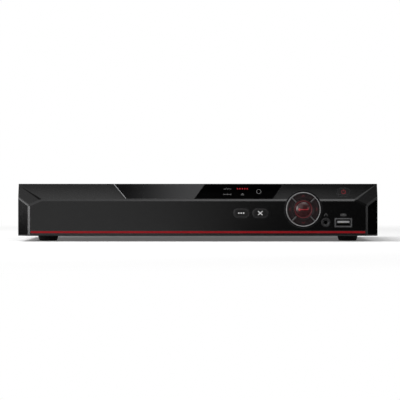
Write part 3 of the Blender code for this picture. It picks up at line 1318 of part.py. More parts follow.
def make_power_switch():
    """A rocker switch: a rim outside the panel, a body with a bay inside it, and a rocker on two pins."""
    x = REAR_X["switch"]
    place = rear(x, SWITCH_Z)
    body_w, body_h = ROCKER_W + 2 * SWITCH_WALL, ROCKER_H + 2 * SWITCH_WALL
    body = prism([rectangle(body_w, body_h)], place, -SWITCH_D, GAP + OVERLAP)
    rim_outline = rounded(body_w + 2 * SWITCH_RIM, body_h + 2 * SWITCH_RIM, SWITCH_RIM_ROUND)
    rim = prism([rim_outline], place, GAP, GAP + SWITCH_RIM_T)
    bay = prism([rectangle(ROCKER_W + 2 * GAP, ROCKER_H + 2 * GAP)], place, -SWITCH_BAY, REACH)
    pivot = Vector((x, CASE_BACK + ROCKER_PIVOT, SWITCH_Z))
    pin_half = ROCKER_H / 2 + ROCKER_PIN
    pin_hole = rod(up(*pivot), ROCKER_PIN_R + GAP, -pin_half - GAP, pin_half + GAP, 12)
    part("switch_frame", body, "socket_black", [(FUSE, rim), (CUT, bay), (CUT, pin_hole)])
    radius = ROCKER_W / 2
    outline = [*arc((0, 0), radius, ROCKER_BOTTOM, ROCKER_TOP, 4), (0, ROCKER_VALLEY),
               *arc((0, 0), radius, 180 - ROCKER_TOP, 180 - ROCKER_BOTTOM, 4)]
    tilted = Matrix.Rotation(math.pi, 4, "Y") @ Matrix.Rotation(math.radians(ROCKER_TILT), 4, "Z")
    rocker = prism([outline], up(*pivot) @ tilted, -ROCKER_H / 2, ROCKER_H / 2)
    pin = rod(up(*pivot), ROCKER_PIN_R, -pin_half, pin_half, 12)
    part("switch_rocker", rocker, "socket_black", [(FUSE, pin)], pivot)
    return [prism([rectangle(body_w + 2 * GAP, body_h + 2 * GAP)], place, -SHEET - REACH, REACH)]


def screw(name, place, head_r, seat):
    """A round-headed screw whose head seats on a wall at a height along the frame's Z."""
    low = seat + GAP
    high = low + SCREW_HEAD_H
    tip = low - SCREW_SHANK
    profile = [(0, high), (head_r - SCREW_ROUND, high), (head_r, high - SCREW_ROUND), (head_r, low),
               (SCREW_SHANK_R, low), (SCREW_SHANK_R, tip), (0, tip)]
    part(name, turned(profile, place, 10), "bare_metal")
    return rod(place, SCREW_SHANK_R + GAP, tip - REACH, high + REACH, 10)


# Case


def open_sheet(low, high, left_out):
    """A box of flat sheet without the sides that face along the given directions."""
    bm = from_mesh(box(low, high))
    gone = [f for f in bm.faces if any(f.normal.dot(Vector(d)) > 0.9 for d in left_out)]
    bmesh.ops.delete(bm, geom=gone, context="FACES")
    return bm


def make_cover_screws():
    """Two screws in each side; returns the holes that they need in cover and pan."""
    holes = []
    ends = {"front": PAN_FRONT + SCREW_FROM_FRONT, "rear": CASE_BACK - SCREW_FROM_BACK}
    for sign, hand in ((-1, "left"), (1, "right")):
        for end, y in ends.items():
            place = side(sign, y, COVER_SCREW_Z)
            holes.append(screw(f"cover_screw_{end}_{hand}", place, SCREW_HEAD_R, COVER_W))
    return holes


def make_top_cover(screw_holes):
    """Top and both sides in one folded sheet, with two groups of upright slots through each side."""
    sheet = open_sheet((-COVER_W, PAN_FRONT, COVER_RISE), (COVER_W, CASE_BACK, COVER_TOP),
                       [(0, 0, -1), (0, -1, 0), (0, 1, 0)])
    slots = []
    through = COVER_W + REACH
    for middle in (VENT_FRONT_Y, VENT_BACK_Y):
        for i in range(SLOT_COUNT):
            place = side(1, middle + (i - (SLOT_COUNT - 1) / 2) * SLOT_PITCH, VENT_Z)
            slots.append(prism([stadium(SLOT_H, SLOT_W, 2)], place, -through, through))
    part("top_cover", folded(sheet, BEND_R), "black_steel", [(CUT, joined(*slots, *screw_holes))])


def make_bosses():
    """Bosses that carry the drive, and stand-offs that carry the main board."""
    middle_x, middle_y = DRIVE_LEFT + DRIVE_L / 2, DRIVE_FRONT + DRIVE_W / 2
    places = []
    for x in (middle_x - DRIVE_HOLES_X / 2, middle_x + DRIVE_HOLES_X / 2):
        for y in (middle_y - DRIVE_HOLES_Y / 2, middle_y + DRIVE_HOLES_Y / 2):
            places.append((x, y, DRIVE_BOSS_R, DRIVE_BOSS_H))
    for x in (MAIN_LEFT + STANDOFF_INSET, (MAIN_LEFT + MAIN_RIGHT) / 2, MAIN_RIGHT - STANDOFF_INSET):
        for y in (MAIN_FRONT + STANDOFF_INSET, MAIN_BACK - STANDOFF_INSET):
            places.append((x, y, STANDOFF_R, STANDOFF_H))
    return joined(*[rod(up(x, y, FLOOR_Z), radius, -OVERLAP, height, 8) for x, y, radius, height in places])


def make_chassis_base(panel_holes, screw_holes):
    """The pan: floor, front wall, low side flanges with a tab for the fan, and the rear panel."""
    sheet = open_sheet((-PAN_W, PAN_FRONT, PAN_RISE), (PAN_W, CASE_BACK, PAN_TOP), [(0, 0, 1)])
    start, end = PAN_FRONT + CORNER_RETURN, CASE_BACK - CORNER_RETURN
    tab = FAN_W / 2 + FAN_TAB
    outside, inside = PAN_W + REACH, PAN_W - SHEET - REACH
    low, high = PAN_RISE + FLANGE_H, PAN_TOP + REACH
    lowered = [
        box((-outside, start, low), (-inside, end, high)),
        box((inside, start, low), (outside, VENT_FRONT_Y - tab, high)),
        box((inside, VENT_FRONT_Y + tab, low), (outside, end, high)),
    ]
    hatch = box((PANEL_CABLE_X - HATCH_W / 2, PAN_FRONT - REACH, PAD_Z - HATCH_H / 2),
                (PANEL_CABLE_X + HATCH_W / 2, PAN_FRONT + SHEET + REACH, PAD_Z + HATCH_H / 2))
    fan_hole = rod(fan_place(), FAN_BORE_R, 0, FAN_T, 20)
    steps = [(FUSE, make_bosses()), (CUT, joined(*lowered, hatch)), (CUT, fan_hole),
             (CUT, joined(*screw_holes)), (CUT, joined(*panel_holes))]
    part("chassis_base", folded(sheet), "black_steel", steps)


def make_feet():
    """Four rubber feet, a little narrower at the floor."""
    for sign, hand in ((-1, "left"), (1, "right")):
        for end, y in (("front", PAN_FRONT + FOOT_FROM_END), ("rear", CASE_BACK - FOOT_FROM_END)):
            place = up(sign * (PAN_W - FOOT_FROM_SIDE), y)
            low = FOOT_R - FOOT_TAPER
            profile = [(0, PAN_RISE - GAP), (FOOT_R, PAN_RISE - GAP), (low, -FOOT_H + FOOT_EDGE),
                       (low - FOOT_EDGE, -FOOT_H), (0, -FOOT_H)]
            part(f"foot_{end}_{hand}", turned(profile, place, 18), "foot_rubber")


def main():
    small_keys = [make_pill_key("function_key", FUNCTION_X), make_pill_key("escape_key", ESCAPE_X)]
    make_front_bezel([*small_keys, make_power_key(), *make_front_sockets(), make_trim(), *make_panels()])
    for name, angle in ARROWS.items():
        make_arrow_key(name, angle)
    make_enter_key()
    make_keypad_frame()
    make_key_board()
    make_light_guide()
    make_ir_receiver()
    make_main_board()
    make_heat_sink()
    make_coin_cell()
    make_hard_drive()
    make_cables()
    make_fan()
    panel_holes = make_round_sockets()
    for make in (make_terminal, make_analogue_socket, make_digital_socket, make_rear_usb, make_lan_socket,
                 make_power_inlet, make_power_switch):
        panel_holes += make()
    panel_holes.append(screw("earth_screw", rear(REAR_X["earth"], EARTH_Z), EARTH_HEAD_R, 0))
    screw_holes = make_cover_screws()
    make_top_cover(screw_holes)
    make_chassis_base(panel_holes, [mesh.copy() for mesh in screw_holes])
    make_feet()


main()
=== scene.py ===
# %% [markdown]
# # A desktop video recorder, dressed for its portrait
# A recorder of this kind is a low black box with a moulded front, a cover of sheet steel and a rear panel
# full of sockets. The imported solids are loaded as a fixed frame, and everything below is placed from them, so
# nothing has to be fitted by eye, and a detail follows its solid. Drawings are in millimetres, as a
# workshop's are, and become metres where a mesh is made. The box of the solids is kept, to compare sizes at
# the end.

# %% Load the frame
import json
import math

import bmesh
import bpy
import numpy as np
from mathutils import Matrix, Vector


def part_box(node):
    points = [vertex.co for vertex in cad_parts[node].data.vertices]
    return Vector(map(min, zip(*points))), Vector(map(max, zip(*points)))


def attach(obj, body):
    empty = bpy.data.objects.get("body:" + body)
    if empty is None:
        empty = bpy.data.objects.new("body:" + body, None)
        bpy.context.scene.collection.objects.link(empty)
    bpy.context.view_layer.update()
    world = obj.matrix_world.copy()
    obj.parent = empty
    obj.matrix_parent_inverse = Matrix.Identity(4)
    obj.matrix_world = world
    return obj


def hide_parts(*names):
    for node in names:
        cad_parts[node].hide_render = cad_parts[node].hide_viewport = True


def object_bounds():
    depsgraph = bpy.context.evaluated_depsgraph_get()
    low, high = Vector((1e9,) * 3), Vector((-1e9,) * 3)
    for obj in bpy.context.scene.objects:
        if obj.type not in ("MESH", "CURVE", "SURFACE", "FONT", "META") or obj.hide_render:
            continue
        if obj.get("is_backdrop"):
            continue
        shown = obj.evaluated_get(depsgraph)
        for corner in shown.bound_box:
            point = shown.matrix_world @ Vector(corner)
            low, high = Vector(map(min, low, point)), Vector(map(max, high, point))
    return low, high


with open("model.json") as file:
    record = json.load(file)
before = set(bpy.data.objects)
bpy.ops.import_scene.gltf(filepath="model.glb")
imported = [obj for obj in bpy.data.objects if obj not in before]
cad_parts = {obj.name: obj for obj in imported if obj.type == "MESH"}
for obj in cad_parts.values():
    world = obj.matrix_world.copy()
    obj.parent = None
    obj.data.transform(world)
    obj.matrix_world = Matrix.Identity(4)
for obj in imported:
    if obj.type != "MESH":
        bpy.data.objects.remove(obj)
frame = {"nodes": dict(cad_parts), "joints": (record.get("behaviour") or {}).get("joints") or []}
cad_box = [list(corner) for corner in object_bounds()]
MM = 0.001
scene = bpy.context.scene

# %% [markdown]
# ## Measures
# The recorder's front has a flat face, and above it a band that leans back to the top. Their places could be
# typed in as numbers, but those would be wrong as soon as a solid changes. So they are worked out from the
# boxes of the solids, and only what a box can't tell is a number here: how far the keypad's collar stands
# out, and how far the band rises and leans.

# %% Measures


def box(node):
    """The low and the high corner of a solid's box."""
    return [np.array(corner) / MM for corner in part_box(node)]


bezel_low, bezel_high = box("front_bezel")
COLLAR_OUT = 0.4  # how far the keypad's collar stands out of the face
FACE_Y = bezel_low[1] + COLLAR_OUT
REAR_Y = box("chassis_base")[1][1]
BAND_H, BAND_BACK = 14.5, 16.3  # how high the leaning band is, and how far it leans back
BAND_L = math.hypot(BAND_H, BAND_BACK)
RIDGE_Z = bezel_high[2] - BAND_H
print(f"face at y {FACE_Y:.2f} mm, ridge at z {RIDGE_Z:.2f} mm, rear panel at y {REAR_Y:.2f} mm")

# %% [markdown]
# ## Camera
# The portrait looks straight at the front through a long lens, a little above the middle, so the band shows
# and the top does not. The square picture that the recorder was seen in is stretched upwards: its round
# keypad is an ellipse 2.7 times as tall as wide. Stretched pixels could copy that, but the part has its real
# proportions. So the camera keeps the picture's width and places, and the recorder stands lower in it.

# %% Camera
VIEW_W = 360.6  # what the picture shows across the face
AIM = np.array((1.95, FACE_Y, 37.4))
DISTANCE = 2600
LOOK_DOWN = math.radians(0.25)
SENSOR_W = 36


def linked(name, data):
    """A new object in the scene."""
    thing = bpy.data.objects.new(name, data)
    scene.collection.objects.link(thing)
    return thing


camera = linked("portrait_camera", bpy.data.cameras.new("portrait_camera"))
camera.data.sensor_fit = "HORIZONTAL"
camera.data.sensor_width = SENSOR_W
camera.data.lens = SENSOR_W * DISTANCE / VIEW_W
camera.data.clip_end = 50
camera.location = (AIM + DISTANCE * np.array((0, -math.cos(LOOK_DOWN), math.sin(LOOK_DOWN)))) * MM
camera.rotation_euler = (math.pi / 2 - LOOK_DOWN, 0, 0)
scene.camera = camera
scene.view_settings.view_transform = "Standard"
print(f"camera {DISTANCE * MM} m away, lens {camera.data.lens:.0f} mm")

# %% [markdown]
# ## Node helpers
# A finish is a node tree, and with bare calls each node takes several lines: one to add it, one for each
# value, one for each link. One helper does all three, so a tree is written in the order in which it works,
# from its source to its output.

# %% Node helpers
MOST, SMOOTH = {"operation": "MAXIMUM"}, {"interpolation_type": "SMOOTHSTEP"}
WHITE, BLACK = (1, 1, 1, 1), (0, 0, 0, 1)


def emptied(owner):
    """The node tree of a world or a material, without its nodes."""
    owner.use_nodes = True
    owner.node_tree.nodes.clear()
    return owner.node_tree


def add(tree, kind, settings=None, **sockets):
    """A new node. A socket, by its name or _number, takes a value, a node or (node, its output)."""
    node = tree.nodes.new("ShaderNode" + kind)
    for key, value in (settings or {}).items():
        setattr(node, key, value)
    for key, value in sockets.items():
        socket = node.inputs[int(key[1:]) if key[0] == "_" else key.replace("_", " ")]
        source, output = value if isinstance(value, tuple) and len(value) == 2 else (value, 0)
        if isinstance(source, bpy.types.Node):
            tree.links.new(source.outputs[output], socket)
        else:
            socket.default_value = value
    return node


print("node helpers ready")

# %% [markdown]
# ## Studio
# The recorder stands in a white studio. A bright world would give the white, but it would wash out black
# plastic too. So the world is white only for the camera and for rays that come from a mirror or through
# glass, and a lower level lights the surfaces evenly.

# %% World
EVEN_LIGHT = 0.52
scene.world = bpy.data.worlds.new("white_studio")
tree = emptied(scene.world)
path = add(tree, "LightPath")
seen = add(tree, "Math", MOST, _0=(path, "Is Camera Ray"), _1=(path, "Is Glossy Ray"))
seen = add(tree, "Math", MOST, _0=seen, _1=(path, "Is Transmission Ray"))
strength = add(tree, "MapRange", Value=seen, To_Min=EVEN_LIGHT, To_Max=1.0)
add(tree, "OutputWorld", Surface=add(tree, "Background", Color=WHITE, Strength=strength))
print("white world made")

# %% [markdown]
# ### Lamps
# A soft box above and to the left makes the shadow fall to the right, and narrow lamps draw the ridge and the
# corner edges as bright lines. One large lamp could light it all, but black plastic shows a lamp's reflection
# more than its light, so an edge gets a strip of its own, where it mirrors it. Area lamps are used because
# their size sets how soft a line or a shadow is.

# %% Lamps


def soft_box(name, place, aim, size, power, mirrored=True):
    """A rectangular lamp at a place, turned to a point; one that isn't mirrored only lights surfaces."""
    lamp = bpy.data.lights.new(name, "AREA")
    lamp.shape = "RECTANGLE"
    lamp.size, lamp.size_y = np.array(size) * MM
    lamp.energy = power
    thing = linked(name, lamp)
    back = np.array(place) - np.array(aim)
    x, y, z = back / np.linalg.norm(back)
    thing.location = np.array(place) * MM
    thing.rotation_euler = (math.acos(z), 0, math.atan2(x, -y))
    thing.visible_glossy = mirrored


soft_box("overhead_box", (-400, 50, 1100), (0, 0, 0), (1000, 800), 9.0, mirrored=False)
soft_box("ridge_strip", (320, -980, 980), (50, FACE_Y, RIDGE_Z), (750, 220), 1.5)
soft_box("corner_strip", (-1000, -570, 580), (-155, FACE_Y, RIDGE_Z), (300, 500), 2.0)
soft_box("edge_strip", (-900, -1065, 140), (-152, FACE_Y, 20), (250, 500), 4.8)
soft_box("right_corner_strip", (697, -413, 375), (157, FACE_Y, RIDGE_Z), (200, 310), 0.12)
soft_box("right_edge_strip", (900, -1065, 140), (152, FACE_Y, 20), (250, 500), 0.8)
print("six soft lamps made")

# %% [markdown]
# ### Floor
# The floor is a wide sheet of white paper. A shadow catcher would be missing in reflections, so it is a real
# sheet: near the recorder the paper takes light and keeps the shadow, and further out it glows as white as
# the world, so no horizon shows. A strip of the same paper under the recorder stops the look through between
# its feet.

# %% Floor
X_AXIS, Y_AXIS = 0, 1
FLOOR_REACH = 6000
PAPER_TO, GLOW_FROM, LEAST_GLOW = 0.45, 1.1, 0.12  # metres from the middle, and the glow near it
STRIP_Y, STRIP_H, STRIP_HALF = 80, 5.4, 140  # the strip under the recorder


def grid_quads(rows, columns, closed=False):
    """Corner numbers of a grid's quads; a closed grid joins each row's last point to its first."""
    corner = np.arange(rows * columns).reshape(rows, columns)
    if closed:
        corner = np.column_stack([corner, corner[:, 0]])
    quads = corner[:-1, :-1], corner[:-1, 1:], corner[1:, 1:], corner[1:, :-1]
    return np.stack(quads, axis=-1).reshape(-1, 4)


def card(name, points, material):
    """A thin sheet of the studio, from a grid of points."""
    mesh = bpy.data.meshes.new(name)
    mesh.from_pydata((points.reshape(-1, 3) * MM).tolist(), [], grid_quads(*points.shape[:2]).tolist())
    mesh.materials.append(material)
    thing = linked(name, mesh)
    thing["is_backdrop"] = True
    return thing


def drawn_out(profile, axis, start, end):
    """A flat profile drawn out along the axis that it lacks, as a grid of points."""
    return np.stack([np.insert(np.array(profile, float), axis, spot, axis=1) for spot in (start, end)], axis=1)


floor_paint = bpy.data.materials.new("floor_white")
tree = emptied(floor_paint)
path = add(tree, "LightPath")
reach = add(tree, "VectorMath", {"operation": "LENGTH"}, _0=(add(tree, "TexCoord"), "Object"))
fade = add(tree, "MapRange", SMOOTH, Value=(reach, "Value"), From_Min=PAPER_TO, From_Max=GLOW_FROM,
           To_Min=LEAST_GLOW)
seen = add(tree, "Math", MOST, _0=(path, "Is Camera Ray"), _1=(path, "Is Glossy Ray"))
share = add(tree, "Math", {"operation": "MULTIPLY"}, _0=fade, _1=seen)
paper = add(tree, "BsdfDiffuse", Color=(0.93, 0.93, 0.93, 1))
glow = add(tree, "Emission", Color=WHITE, Strength=1.0)
add(tree, "OutputMaterial", Surface=add(tree, "MixShader", Fac=share, _1=paper, _2=glow))
whole = (-FLOOR_REACH, FLOOR_REACH)
card("studio_floor", drawn_out([(y, 0) for y in whole], X_AXIS, *whole), floor_paint)
strip = [(STRIP_Y, 0), (STRIP_Y, STRIP_H)]
card("under_strip", drawn_out(strip, X_AXIS, -STRIP_HALF, STRIP_HALF), floor_paint)
print("floor made")

# %% [markdown]
# ### Flags
# Black things are drawn by what they mirror, so photographers hang black cloth, called flags, where a
# reflection should be dark. Six of them, seen only in reflections, let the sheen fade from left to right. The
# fade could be painted on the plastic, but then it would show from every side. Cloth whose opacity follows a
# ramp keeps it in the studio, where it belongs.

# %% Flags


def flag_cloth(name, axis, stops):
    """Black cloth whose opacity follows (place, opacity) stops along one axis."""
    material = bpy.data.materials.new(name)
    tree = emptied(material)
    first, last = stops[0][0], stops[-1][0]
    split = add(tree, "SeparateXYZ", Vector=(add(tree, "TexCoord"), "Object"))
    share = add(tree, "MapRange", Value=(split, axis), From_Min=first * MM, From_Max=last * MM)
    ramp = add(tree, "ValToRGB", Fac=share)
    for number, (spot, opacity) in enumerate(stops):
        mark = ramp.color_ramp.elements[number] if number < 2 else ramp.color_ramp.elements.new(1)
        mark.position = (spot - first) / (last - first)
        mark.color = (opacity, opacity, opacity, 1)
    clear, cloth = add(tree, "BsdfTransparent", Color=WHITE), add(tree, "BsdfDiffuse", Color=BLACK)
    add(tree, "OutputMaterial", Surface=add(tree, "MixShader", Fac=ramp, _1=clear, _2=cloth))
    return material


FLAG_Z, PANE_Z = 110, 62  # heights of the flags above the band and above its panels
front_bend = [(FACE_Y - 12, 1), (-950, 1), (-1050, 30), (-1100, 120), (-1100, 750)]
pane_corners = np.array([[(-59.0, -134), (61.6, -134)], [(-81.9, -104), (82.9, -104)]])
FLAGS = {
    "front_flag": (drawn_out(front_bend, X_AXIS, -600, 1600),
                   "X", [(-130, 0), (-40, 0.05), (10, 0.46), (50, 0.97), (70, 1), (1600, 1)]),
    "upper_flag": (drawn_out([(-113, FLAG_Z), (-40, FLAG_Z)], X_AXIS, -300, 600),
                   "X", [(-300, 0.75), (0, 0.75), (60, 1), (600, 1)]),
    "upper_veil": (drawn_out([(-165, FLAG_Z), (-113, FLAG_Z)], X_AXIS, -300, 600),
                   "X", [(0, 0), (60, 0.2), (120, 0.42), (160, 0.66), (600, 0.75)]),
    "pane_flag": (np.dstack([pane_corners, np.full((2, 2), PANE_Z)]), "X", [(-100, 0.95), (100, 0.98)]),
    "right_flag": (drawn_out([(168, 1), (750, 1), (750, 900)], Y_AXIS, -600, 200), "Z", [(0, 1), (900, 1)]),
    "left_flag": (drawn_out([(-168, 1), (-205, 1), (-205, 60)], Y_AXIS, -178, -90),
                  "Z", [(0, 0.95), (8, 0.88), (34, 0.3), (60, 0.1)]),
}
for name, (points, axis, stops) in FLAGS.items():
    flag = card(name, points, flag_cloth(name + "_cloth", axis, stops))
    flag.visible_camera = flag.visible_diffuse = flag.visible_transmission = flag.visible_shadow = False
print("flags hung:", len(FLAGS))

# %% [markdown]
# ## Finishes
# Every real surface is uneven at some scale: a moulded face has a fine grain, powder paint an orange-peel
# skin, metal drawn lines. Each finish could have a tree or a painted picture of its own. One recipe with a
# few numbers covers them all: a cloud noise mixes two near colours, a fine noise drives roughness and bump,
# and the shader's own bevel finds the edges and lightens them, partly as wear and partly as a painted
# highlight. Lengths are in millimetres.

# %% A grained finish
MIXED = 2  # the colour output of a mix node
NOISE = {"From_Min": 0.3, "From_Max": 0.7}  # where most of a noise's values lie
FLAT, WORN_AND_SHEEN = 0.995, 0.90  # cosines between the bevelled and the true normal, off and on an edge
FINISH = {}


def grey(level, blue=None):
    """A grey, or nearly: its blue may differ a little."""
    return level, level, blue or level


def blend(tree, share, first, second):
    """A colour between two, as a node and its output."""
    return add(tree, "Mix", {"data_type": "RGBA"}, _0=share, _6=first, _7=second), MIXED


def finish(name, dark, light, rough, grain, depth, metallic=0.0, specular=0.5, edge=None, edge_width=0.35,
           drawn=(1, 1, 1), cloud=9, glow=0.0):
    """Principled shader: colour = mix(dark, light, cloud noise); roughness = range(rough, fine noise);
    bump = fine noise x depth; edges (where the bevelled and true normals part) take the edge colour, a lighter
    colour that is partly wear and partly a painted highlight."""
    FINISH[name] = bpy.data.materials.new(name)
    tree = emptied(FINISH[name])
    turn = add(tree, "Mapping", Vector=(add(tree, "TexCoord"), "Object"), Scale=drawn)
    clouds = add(tree, "TexNoise", Vector=turn, Scale=1 / (cloud * MM), Detail=5.0, Roughness=0.6)
    spread = add(tree, "MapRange", Value=clouds, **NOISE)
    paint = blend(tree, spread, (*dark, 1), (*light, 1))
    fine = add(tree, "TexNoise", Vector=turn, Scale=1 / (grain * MM), Detail=3.0, Roughness=0.55)
    gloss = add(tree, "MapRange", Value=fine, To_Min=rough[0], To_Max=rough[1], **NOISE)
    bump = add(tree, "Bump", Strength=0.6, Distance=depth * MM, Height=fine)
    if edge:
        bevel = add(tree, "Bevel", {"samples": 4}, Radius=edge_width * MM)
        same = add(tree, "VectorMath", {"operation": "DOT_PRODUCT"}, _0=bevel,
                   _1=(add(tree, "NewGeometry"), "Normal"))
        edge_wear_and_sheen = add(tree, "MapRange", SMOOTH, Value=(same, "Value"), From_Min=FLAT, From_Max=WORN_AND_SHEEN)
        paint = blend(tree, edge_wear_and_sheen, paint, (*edge, 1))
    lit = {"Emission_Color": paint, "Emission_Strength": glow} if glow else {}
    shader = add(tree, "BsdfPrincipled", Base_Color=paint, Metallic=metallic, Roughness=gloss,
                 Specular_IOR_Level=specular, Normal=bump, **lit)
    add(tree, "OutputMaterial", Surface=shader)


print("finish recipe ready")

# %% [markdown]
# ### Casing finishes
# The bezel is black plastic from a grained mould, and the sheet steel is powder-coated. The bezel's chamfers
# carry painted highlights and painted shade, in finishes lighter and darker than its plastic, and its band a
# lighter copy of its black as painted light. Black isn't nothing: its colour is a few thousandths, and its look
# comes from how rough it is and how strongly it mirrors. So these finishes differ most in those numbers, and
# the steel in the depth of its skin.

# %% Casing finishes
# the bezel's black; its lighter edges are a painted highlight
finish("moulded_black", grey(0.0003, 0.0004), grey(0.0008, 0.0009), (0.23, 0.32), 0.5, 0.004, specular=0.34,
       edge=grey(0.06, 0.062))
# the leaning band: a lighter copy of the bezel's black, painted light for how the light falls on it
finish("moulded_band_painted_light", grey(0.0012, 0.0013), grey(0.0022, 0.0023), (0.23, 0.32), 0.5, 0.004, specular=0.48,
       edge=grey(0.06, 0.062))
# painted highlights and painted shade for the bezel's chamfers: lighter and darker than its plastic
finish("painted_edge_highlight", grey(0.0125, 0.0128), grey(0.017, 0.0174), (0.16, 0.24), 0.5, 0.003, specular=0.35)
finish("painted_pale_highlight", grey(0.034, 0.0345), grey(0.042, 0.0425), (0.16, 0.24), 0.5, 0.003, specular=0.35)
finish("painted_edge_shade", grey(0.0006), grey(0.001), (0.4, 0.5), 0.5, 0.003, specular=0.08)
# silver: real paint on the keypad's spokes, and a painted highlight along the gloss panel's edge
finish("silver_paint_and_highlight", grey(0.24, 0.245), grey(0.3, 0.305), (0.3, 0.4), 0.3, 0.002)
finish("powder_coat", grey(0.009, 0.0094), grey(0.0135, 0.014), (0.4, 0.58), 0.45, 0.035, specular=0.4,
       edge=grey(0.035, 0.036), edge_width=0.3)
print("finishes so far:", len(FINISH))

# %% [markdown]
# ### Key finishes
# Keys are moulded in a warmer black than the casing, and the round keypad has a trace of red from its light.
# The red could come from a lamp inside, but in the keypad's thin gaps that takes many samples. A little red
# in the colour does it at once.

# %% Key finishes
finish("key_black", (0.0042, 0.004, 0.0042), (0.0064, 0.006, 0.0062), (0.26, 0.38), 0.4, 0.003, specular=0.35,
       edge=(0.05, 0.048, 0.049))
finish("keypad_black", (0.0088, 0.0052, 0.0056), (0.013, 0.0072, 0.0076), (0.24, 0.36), 0.4, 0.003,
       specular=0.4, edge=(0.036, 0.024, 0.025))
finish("dome_red_black", (0.026, 0.0075, 0.0085), (0.038, 0.0105, 0.0115), (0.2, 0.3), 0.4, 0.002)
print("finishes so far:", len(FINISH))

# %% [markdown]
# ### Panes, trims and feet
# The window and the panel beside it are smooth sheets, the trim is a red moulding, the keypad's ring is
# bright paint with metal in it, and the feet are rubber. Smooth sheets have little roughness and a long,
# shallow ripple in place of a grain; rubber has the roughest and deepest grain of all.

# %% Panes, trims and feet
finish("window_black", grey(0.0004, 0.0005), grey(0.0008, 0.0009), (0.05, 0.09), 3, 0.0005, specular=0.2,
       edge=grey(0.02, 0.021))
finish("smoked_gloss", grey(0.004, 0.0042), grey(0.0052, 0.0054), (0.06, 0.11), 2, 0.0006, specular=0.3,
       edge=grey(0.1))
finish("red_trim", (0.205, 0.0045, 0.0075), (0.235, 0.006, 0.0095), (0.22, 0.34), 0.6, 0.003, specular=0.12,
       edge=(0.2, 0.006, 0.01))
finish("bright_ring", grey(0.52, 0.525), grey(0.6, 0.605), (0.26, 0.36), 0.3, 0.002, metallic=0.25)
finish("foot_rubber", grey(0.01), grey(0.018), (0.75, 0.92), 0.35, 0.05, specular=0.25, edge=grey(0.03))
print("finishes so far:", len(FINISH))

# %% [markdown]
# ### Metals and socket plastics
# Sockets are nickel with drawn lines, gold-plated contacts, and black or grey plastic. A metal's colour tints
# what it mirrors, so its metallic value is one and its colour is bright. Drawn lines could be a picture, but
# noise that is squeezed along one axis draws them too, and has no seam.

# %% Metals and socket plastics
finish("nickel", (0.5, 0.51, 0.52), grey(0.62, 0.63), (0.22, 0.38), 0.25, 0.004, metallic=1, drawn=(1, 6, 1),
       edge=grey(0.75, 0.76))
finish("gold_contact", (0.72, 0.48, 0.16), (0.8, 0.56, 0.2), (0.18, 0.3), 0.3, 0.002, metallic=1)
finish("socket_black", grey(0.007, 0.0074), grey(0.012, 0.0125), (0.38, 0.52), 0.35, 0.006, specular=0.4,
       edge=grey(0.03, 0.031))
finish("tongue_grey", grey(0.22, 0.225), grey(0.27, 0.275), (0.35, 0.5), 0.3, 0.004, edge=grey(0.34, 0.345))
finish("socket_frame", grey(0.09, 0.093), grey(0.112, 0.115), (0.3, 0.42), 0.3, 0.004, metallic=0.4,
       edge=grey(0.17, 0.175))
finish("faint_line", grey(0.018, 0.0185), grey(0.026, 0.0265), (0.35, 0.48), 0.3, 0.002, specular=0.3)
print("finishes so far:", len(FINISH))

# %% [markdown]
# ### Prints and lamps
# Signs are printed with matt ink, and some are lit from behind. Ink could be a picture on its surface, but
# here a sign is a thin piece of its own, so a plain finish is enough. The lit ones glow a little, so that
# they stay red in the shade.

# %% Prints and lamps
finish("white_print", grey(0.66), grey(0.74), (0.45, 0.6), 0.2, 0.002)
finish("grey_print", grey(0.1), grey(0.13), (0.45, 0.6), 0.2, 0.002)
finish("red_print", (0.15, 0.008, 0.013), (0.19, 0.01, 0.016), (0.4, 0.55), 0.2, 0.002)
finish("red_lamp", (0.22, 0.005, 0.01), (0.27, 0.006, 0.012), (0.3, 0.4), 0.3, 0.002, glow=0.1)
finish("dim_red_print", (0.095, 0.006, 0.01), (0.125, 0.008, 0.013), (0.4, 0.55), 0.2, 0.002)
finish("red_light_guide", (0.08, 0.012, 0.015), (0.105, 0.017, 0.02), (0.2, 0.32), 0.4, 0.002, glow=0.1)
print("finishes so far:", len(FINISH))

# %% [markdown]
# ### Inside and rear finishes
# The boards are green, the drive and the heat sink cast aluminium, the cables black and red. The rear sockets
# have the colours that their trades use: red and white for sound, blue for analogue pictures, green for a
# terminal. They are small or hidden, so the recipe needs nothing more than their colours.

# %% Inside and rear finishes
finish("board_green", (0.006, 0.055, 0.022), (0.012, 0.09, 0.036), (0.35, 0.5), 0.6, 0.02,
       edge=(0.1, 0.13, 0.06), cloud=3)
finish("clear_guide", (0.62, 0.66, 0.68), (0.72, 0.75, 0.77), (0.1, 0.2), 1, 0.002)
finish("cast_aluminium", (0.42, 0.43, 0.44), (0.52, 0.53, 0.54), (0.36, 0.52), 0.4, 0.015, metallic=1,
       edge=grey(0.66, 0.67))
finish("cable_black", grey(0.01, 0.011), grey(0.018, 0.019), (0.5, 0.65), 0.5, 0.01)
finish("cable_red", (0.24, 0.01, 0.008), (0.32, 0.016, 0.012), (0.45, 0.6), 0.5, 0.01)
finish("audio_white", (0.6, 0.59, 0.56), (0.68, 0.67, 0.64), (0.35, 0.48), 0.4, 0.004, edge=(0.74, 0.73, 0.7))
finish("audio_red", (0.36, 0.012, 0.014), (0.44, 0.018, 0.02), (0.35, 0.48), 0.4, 0.004,
       edge=(0.55, 0.04, 0.04))
finish("video_blue", (0.01, 0.045, 0.2), (0.016, 0.06, 0.26), (0.35, 0.48), 0.4, 0.004,
       edge=(0.05, 0.11, 0.34))
finish("amber_lamp", (0.42, 0.16, 0.012), (0.52, 0.22, 0.018), (0.2, 0.3), 0.4, 0.003)
finish("terminal_green", (0.012, 0.12, 0.045), (0.018, 0.16, 0.06), (0.38, 0.52), 0.4, 0.005,
       edge=(0.06, 0.24, 0.11))
print("finishes so far:", len(FINISH))
